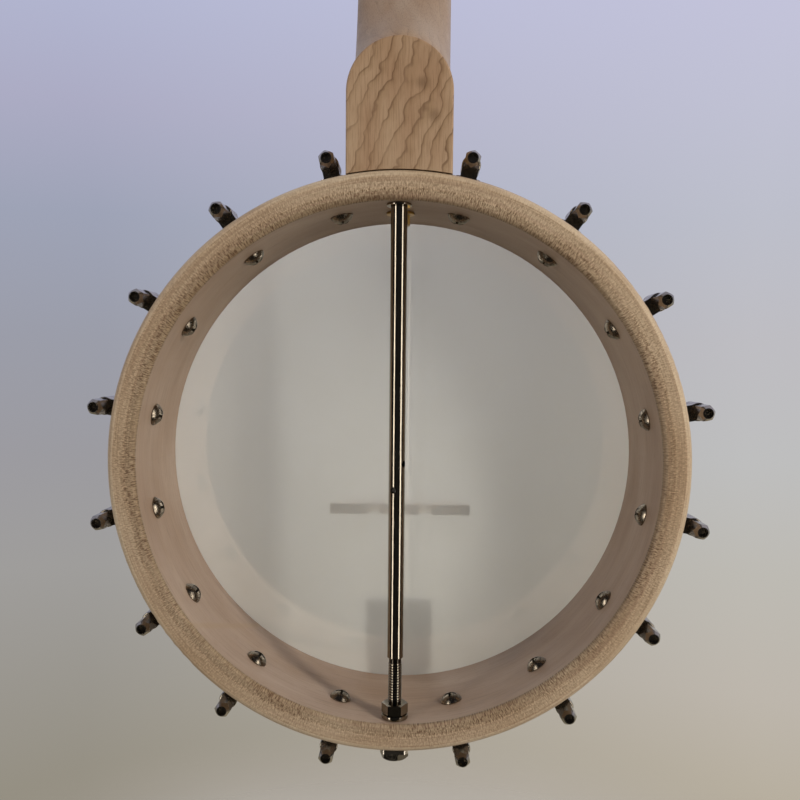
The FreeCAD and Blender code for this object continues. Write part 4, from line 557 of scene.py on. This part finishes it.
def helix(middle, axis, start, radius, pitch, turns, steps, hand=1):
    # a helix round an axis: middle + radius (cos t, hand sin t) across it, pitch t / turn along it
    axis = np.array(Vector(axis).normalized())
    start = np.array(start) - np.dot(start, axis) * axis
    start /= np.linalg.norm(start)
    side = np.cross(axis, start)
    t = np.linspace(0, 2 * math.pi * turns, int(steps * turns) + 1)[:, None]
    outward = np.cos(t) * start + hand * np.sin(t) * side
    path = np.array(middle) + radius * outward + pitch * t / (2 * math.pi) * axis
    return path, outward, axis


def cutThread():
    # the thread on the rod's tail end: a V ridge carried along a helix, fading out at both ends
    rodLow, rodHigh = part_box("coordinator_rod")
    rodDepth = (rodLow.y + rodHigh.y) / 2
    turns = (thread["bottom"] - thread["top"]) / thread["pitch"]
    middle = (0, rodDepth, potCentre - thread["top"] / 1000)
    path, outward, axis = helix(middle, (0, 0, -1), (1, 0, 0), 0.0, thread["pitch"] / 1000,
                                turns, thread["stepsPerTurn"])
    step = np.arange(len(path))
    rise = np.minimum(1, np.minimum(step, step[::-1]) / thread["fadeSteps"])[:, None, None]
    foot, flat = thread["foot"], thread["flat"]
    across = np.array([-foot, -flat, flat, foot])[None, :, None] * thread["pitch"] / 1000
    height = np.array([0.0, 1.0, 1.0, 0.0])[None, :, None] * rise
    radius = (thread["root"] + (thread["crest"] - thread["root"]) * height) / 1000
    rows = path[:, None, :] + radius * outward[:, None, :] + across * axis
    mesh = surfaceMesh("rodThread", rows[:, ::-1])  # turned round so that its faces look outwards
    mesh.shade_flat()
    addPiece(mesh, "rod_steel", "banjo")


# gauge in mm; start is the side of the post that the string reaches first; hand is the way round
windings = {
    1: {"body": "post_1", "gauge": 0.254, "start": (-1, 0, 0), "hand": 1},
    2: {"body": "post_2", "gauge": 0.305, "start": (-1, 0, 0), "hand": 1},
    3: {"body": "post_3", "gauge": 0.406, "start": (1, 0, 0), "hand": -1},
    4: {"body": "post_4", "gauge": 0.584, "start": (1, 0, 0), "hand": -1},
    5: {"body": "peg_post", "gauge": 0.254, "start": (0, -1, 0), "hand": -1},
}
# spacing and rise are in radii of the string: from turn to turn, and from the middle to the top
coil = {"turns": 3.0, "spacing": 2.04, "rise": 2.8, "stepsPerTurn": 28, "sides": 8, "tip": 1e-7}


def windString(index, body, gauge, start, hand):
    # close turns of a round wire: a circle of the string's radius carried along a helix that
    # goes down the post from where the string arrives
    node = "string_winding_%d" % index
    low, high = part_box(node)
    joint = next(joint for joint in frame["joints"] if joint["child"] == body)
    down = -np.array(joint["axis"])
    wire = gauge / 2000
    radius = (high.z - low.z if body == "peg_post" else high.x - low.x) / 2 - wire
    top = np.array((low + high) / 2) - coil["rise"] * wire * down
    path, outward, axis = helix(top, down, start, radius, coil["spacing"] * wire,
                                coil["turns"], coil["stepsPerTurn"], hand)
    angle = np.linspace(0, 2 * math.pi, coil["sides"] + 1)[:-1][None, :, None]
    thickness = np.full((len(path), 1, 1), wire)
    thickness[[0, -1]] = coil["tip"]  # closed ends
    circle = np.cos(angle) * outward[:, None, :] + hand * np.sin(angle) * axis
    rows = path[:, None, :] + thickness * circle
    slot = next(part["material_slot"] for part in frame["record"]["subparts"]
                if part["node"] == node)
    piece = addPiece(surfaceMesh("string%dTurns" % index, rows[:, ::-1]), slot, body)
    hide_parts(node)


cutThread()
for index, winding in windings.items():
    windString(index, **winding)
print("turned and wound pieces made")


# the backdrop from low to high on either side, the light round it, and the strips' turn from
# behind the pot with half their width, in degrees
sky = {
    "left": ((0.05, "948e80"), (0.28, "9f9d9b"), (0.40, "9c9ba0"), (0.53, "9b9da9"),
             (0.66, "9ea3b6"), (0.77, "acacc4"), (0.88, "b3b7d2")),
    "right": ((0.05, "b6ad9c"), (0.16, "bdb6ac"), (0.28, "bdbab3"), (0.40, "bebebe"),
              (0.53, "bebdc2"), (0.66, "bdbfcb"), (0.88, "c4c4dc")),
    "ambient": ((0.0, "b0a694"), (0.35, "fff8ee"), (0.62, "fbf8ff"), (1.0, "9a9fc0")),
    "ambientLight": 0.62, "throughHead": 1.68, "unlit": "14110e",
    "strips": (47.0, -54.0), "stripHalf": 6.5, "stripSoftness": 2,
    "stripFoot": (-0.62, -0.4), "stripTop": (0.5, 0.75),
    "strip": "fff6ec", "stripLight": 4.6,
}


def makeSky():
    world = bpy.data.worlds.new("studioSurround")
    scene.world = world
    world.use_nodes = True
    tree = world.node_tree
    tree.nodes.clear()
    direction = addNode(tree, "TexCoord").outputs["Generated"]
    x, y, z = addNode(tree, "SeparateXYZ", {}, {0: direction}).outputs
    light = addNode(tree, "LightPath").outputs
    height = addNode(tree, "MapRange", {}, {"Value": z, "From Min": -0.5, "From Max": 0.5})
    left = addNode(tree, "ValToRGB", {"stops": sky["left"]}, {0: height})
    right = addNode(tree, "ValToRGB", {"stops": sky["right"]}, {0: height})
    side = addNode(tree, "MapRange", {}, {"Value": x, "From Min": 0.35, "From Max": -0.35})
    backdrop = addNode(tree, "MixRGB", {}, {"Fac": side, "Color1": left, "Color2": right})

    # the unlit part of the room, which only polished pieces show
    dark = addNode(tree, "MapRange", {"interpolation_type": "SMOOTHSTEP"}, {
        "Value": y, "From Min": -0.12, "From Max": 0.16, "To Max": 0.97})
    backdrop = paintMarks(tree, backdrop, sky["unlit"], dark, (light["Is Glossy Ray"],))

    # two tall strips of light to either side, which polished pieces show as bright lines
    azimuth = addNode(tree, "Math", {"operation": "ARCTAN2"}, {0: x, 1: y})
    (footFrom, footTo), (topFrom, topTo) = sky["stripFoot"], sky["stripTop"]
    foot = addNode(tree, "MapRange", {"interpolation_type": "SMOOTHSTEP"}, {
        "Value": z, "From Min": footFrom, "From Max": footTo})
    top = addNode(tree, "MapRange", {"interpolation_type": "SMOOTHSTEP"}, {
        "Value": z, "From Min": topFrom, "From Max": topTo, "To Min": 1.0, "To Max": 0.0})
    extra = 0.0
    for turn in sky["strips"]:
        off = addNode(tree, "Math", {"operation": "SUBTRACT"}, {0: azimuth, 1: math.radians(turn)})
        off = addNode(tree, "Math", {"operation": "ABSOLUTE"}, {0: off})
        lit = addNode(tree, "MapRange", {"interpolation_type": "SMOOTHSTEP"}, {
            "Value": off, "From Min": math.radians(sky["stripHalf"] - sky["stripSoftness"]),
            "From Max": math.radians(sky["stripHalf"] + sky["stripSoftness"]),
            "To Min": 1.0, "To Max": 0.0})
        for mask in (foot, top, light["Is Glossy Ray"]):
            lit = addNode(tree, "Math", {"operation": "MULTIPLY"}, {0: lit, 1: mask})
        backdrop = paintMarks(tree, backdrop, sky["strip"], lit)
        extra = addNode(tree, "Math", {"operation": "MULTIPLY_ADD"}, {
            0: lit, 1: sky["stripLight"] - 1, 2: extra})

    # the camera, mirrors and the film see the backdrop; matt pieces are lit by the ambient sky
    shown = light["Is Camera Ray"]
    for ray in ("Is Glossy Ray", "Is Transmission Ray"):
        shown = addNode(tree, "Math", {"operation": "MAXIMUM"}, {0: shown, 1: light[ray]})
    fullHeight = addNode(tree, "MapRange", {}, {"Value": z, "From Min": -1.0, "From Max": 1.0})
    ambient = addNode(tree, "ValToRGB", {"stops": sky["ambient"]}, {0: fullHeight})
    plain = addNode(tree, "Background", {}, {"Color": ambient, "Strength": sky["ambientLight"]})
    # light from the front of the room comes through the drum head
    through = addNode(tree, "Math", {"operation": "MULTIPLY_ADD"}, {
        0: light["Is Transmission Ray"], 1: sky["throughHead"] - 1, 2: 1.0})
    through = addNode(tree, "Math", {"operation": "ADD"}, {0: through, 1: extra})
    seen = addNode(tree, "Background", {}, {"Color": backdrop, "Strength": through})
    mixed = addNode(tree, "MixShader", {}, {0: shown, 1: plain, 2: seen})
    addNode(tree, "OutputWorld", {}, {"Surface": mixed})


# metres; the floor fades out from fadeFrom to its edge
floor = {
    "drop": 1.04, "radius": 0.6, "fadeFrom": 0.2, "rings": 24, "sides": 64,
    "colour": "b9b3a8", "pale": "c1bbb0",
}


def makeFloor():
    # a round floor: rings of points from the middle outwards
    radius = np.linspace(0.001, floor["radius"], floor["rings"])[:, None]
    angle = np.linspace(0, 2 * math.pi, floor["sides"] + 1)[:-1][None, :]
    rows = np.stack([radius * np.cos(angle), radius * np.sin(angle),
                     np.full((floor["rings"], floor["sides"]), -floor["drop"])], -1)
    mesh = surfaceMesh("paleFloor", rows)
    material, tree, shader = newMaterial("mattPaintedFloor", {"Roughness": 0.9})
    place = addNode(tree, "SeparateXYZ", {}, {0: inMillimetres(tree)})
    flat = addNode(tree, "CombineXYZ", {}, {0: place.outputs[0], 1: place.outputs[1]})
    away = addNode(tree, "VectorMath", {"operation": "LENGTH"}, {0: flat}).outputs["Value"]
    tone = patchy(tree, flat, (120, 120, 120), 3.0)
    base = paintMarks(tree, floor["colour"], floor["pale"], tone)
    tree.links.new(base.outputs[0], shader.inputs["Base Color"])
    fade = addNode(tree, "MapRange", {"interpolation_type": "SMOOTHSTEP"}, {
        "Value": away, "From Min": floor["fadeFrom"] * 1000,
        "From Max": floor["radius"] * 1000 - 20, "To Min": 1.0, "To Max": 0.0})
    tree.links.new(fade.outputs[0], shader.inputs["Alpha"])
    mesh.materials.append(material)
    disc = bpy.data.objects.new("paleFloor", mesh)
    scene.collection.objects.link(disc)
    disc.visible_glossy = False


# softboxes round the pot: turn is from behind the pot, towards +x; width and height in metres
softboxes = {
    "leftSoftbox": {
        "turn": 51, "rise": 26, "away": 1.25, "width": 0.2, "height": 1.0, "watts": 3.4},
    "rightSoftbox": {
        "turn": -52, "rise": 22, "away": 1.25, "width": 0.2, "height": 1.0, "watts": 14.0},
    "frontSoftbox": {
        "turn": 160, "rise": 35, "away": 1.9, "width": 1.2, "height": 1.2, "watts": 16.0},
}
aimDepth, aimRise = 0.03, 0.02  # what they point at, in metres from the pot's centre


def makeLamps():
    aim = Vector((0, aimDepth, potCentre + aimRise))
    for name, box in softboxes.items():
        turn, rise = math.radians(box["turn"]), math.radians(box["rise"])
        back = Vector((math.sin(turn) * math.cos(rise), math.cos(turn) * math.cos(rise),
                       math.sin(rise)))
        data = bpy.data.lights.new(name, "AREA")
        data.shape, data.size, data.size_y = "RECTANGLE", box["width"], box["height"]
        data.energy = box["watts"]
        lamp = bpy.data.objects.new(name, data)
        lamp.location = aim + back * box["away"]
        lamp.rotation_euler = back.to_track_quat("Z", "Y").to_euler()
        lamp.visible_camera = lamp.visible_glossy = False  # the sky's strips stand for them there
        scene.collection.objects.link(lamp)


# place in metres, turn in degrees, lens and sensor in mm
camera = {
    "place": (-0.01174, 0.48066, -0.58658), "turn": (84.340, -0.493, -177.980),
    "lens": 38.393, "sensor": 36.0, "shift": (0.010, 0.0625), "nearest": 0.01,
}


def makeCamera():
    data = bpy.data.cameras.new("camera")
    data.lens, data.sensor_width = camera["lens"], camera["sensor"]
    data.shift_x, data.shift_y = camera["shift"]
    data.clip_start = camera["nearest"]
    eye = bpy.data.objects.new("camera", data)
    eye.location = camera["place"]
    eye.rotation_euler = Euler([math.radians(part) for part in camera["turn"]], "XYZ")
    scene.collection.objects.link(eye)
    scene.camera = eye


makeSky()
makeFloor()
makeLamps()
makeCamera()
print("stage, softboxes and camera placed")
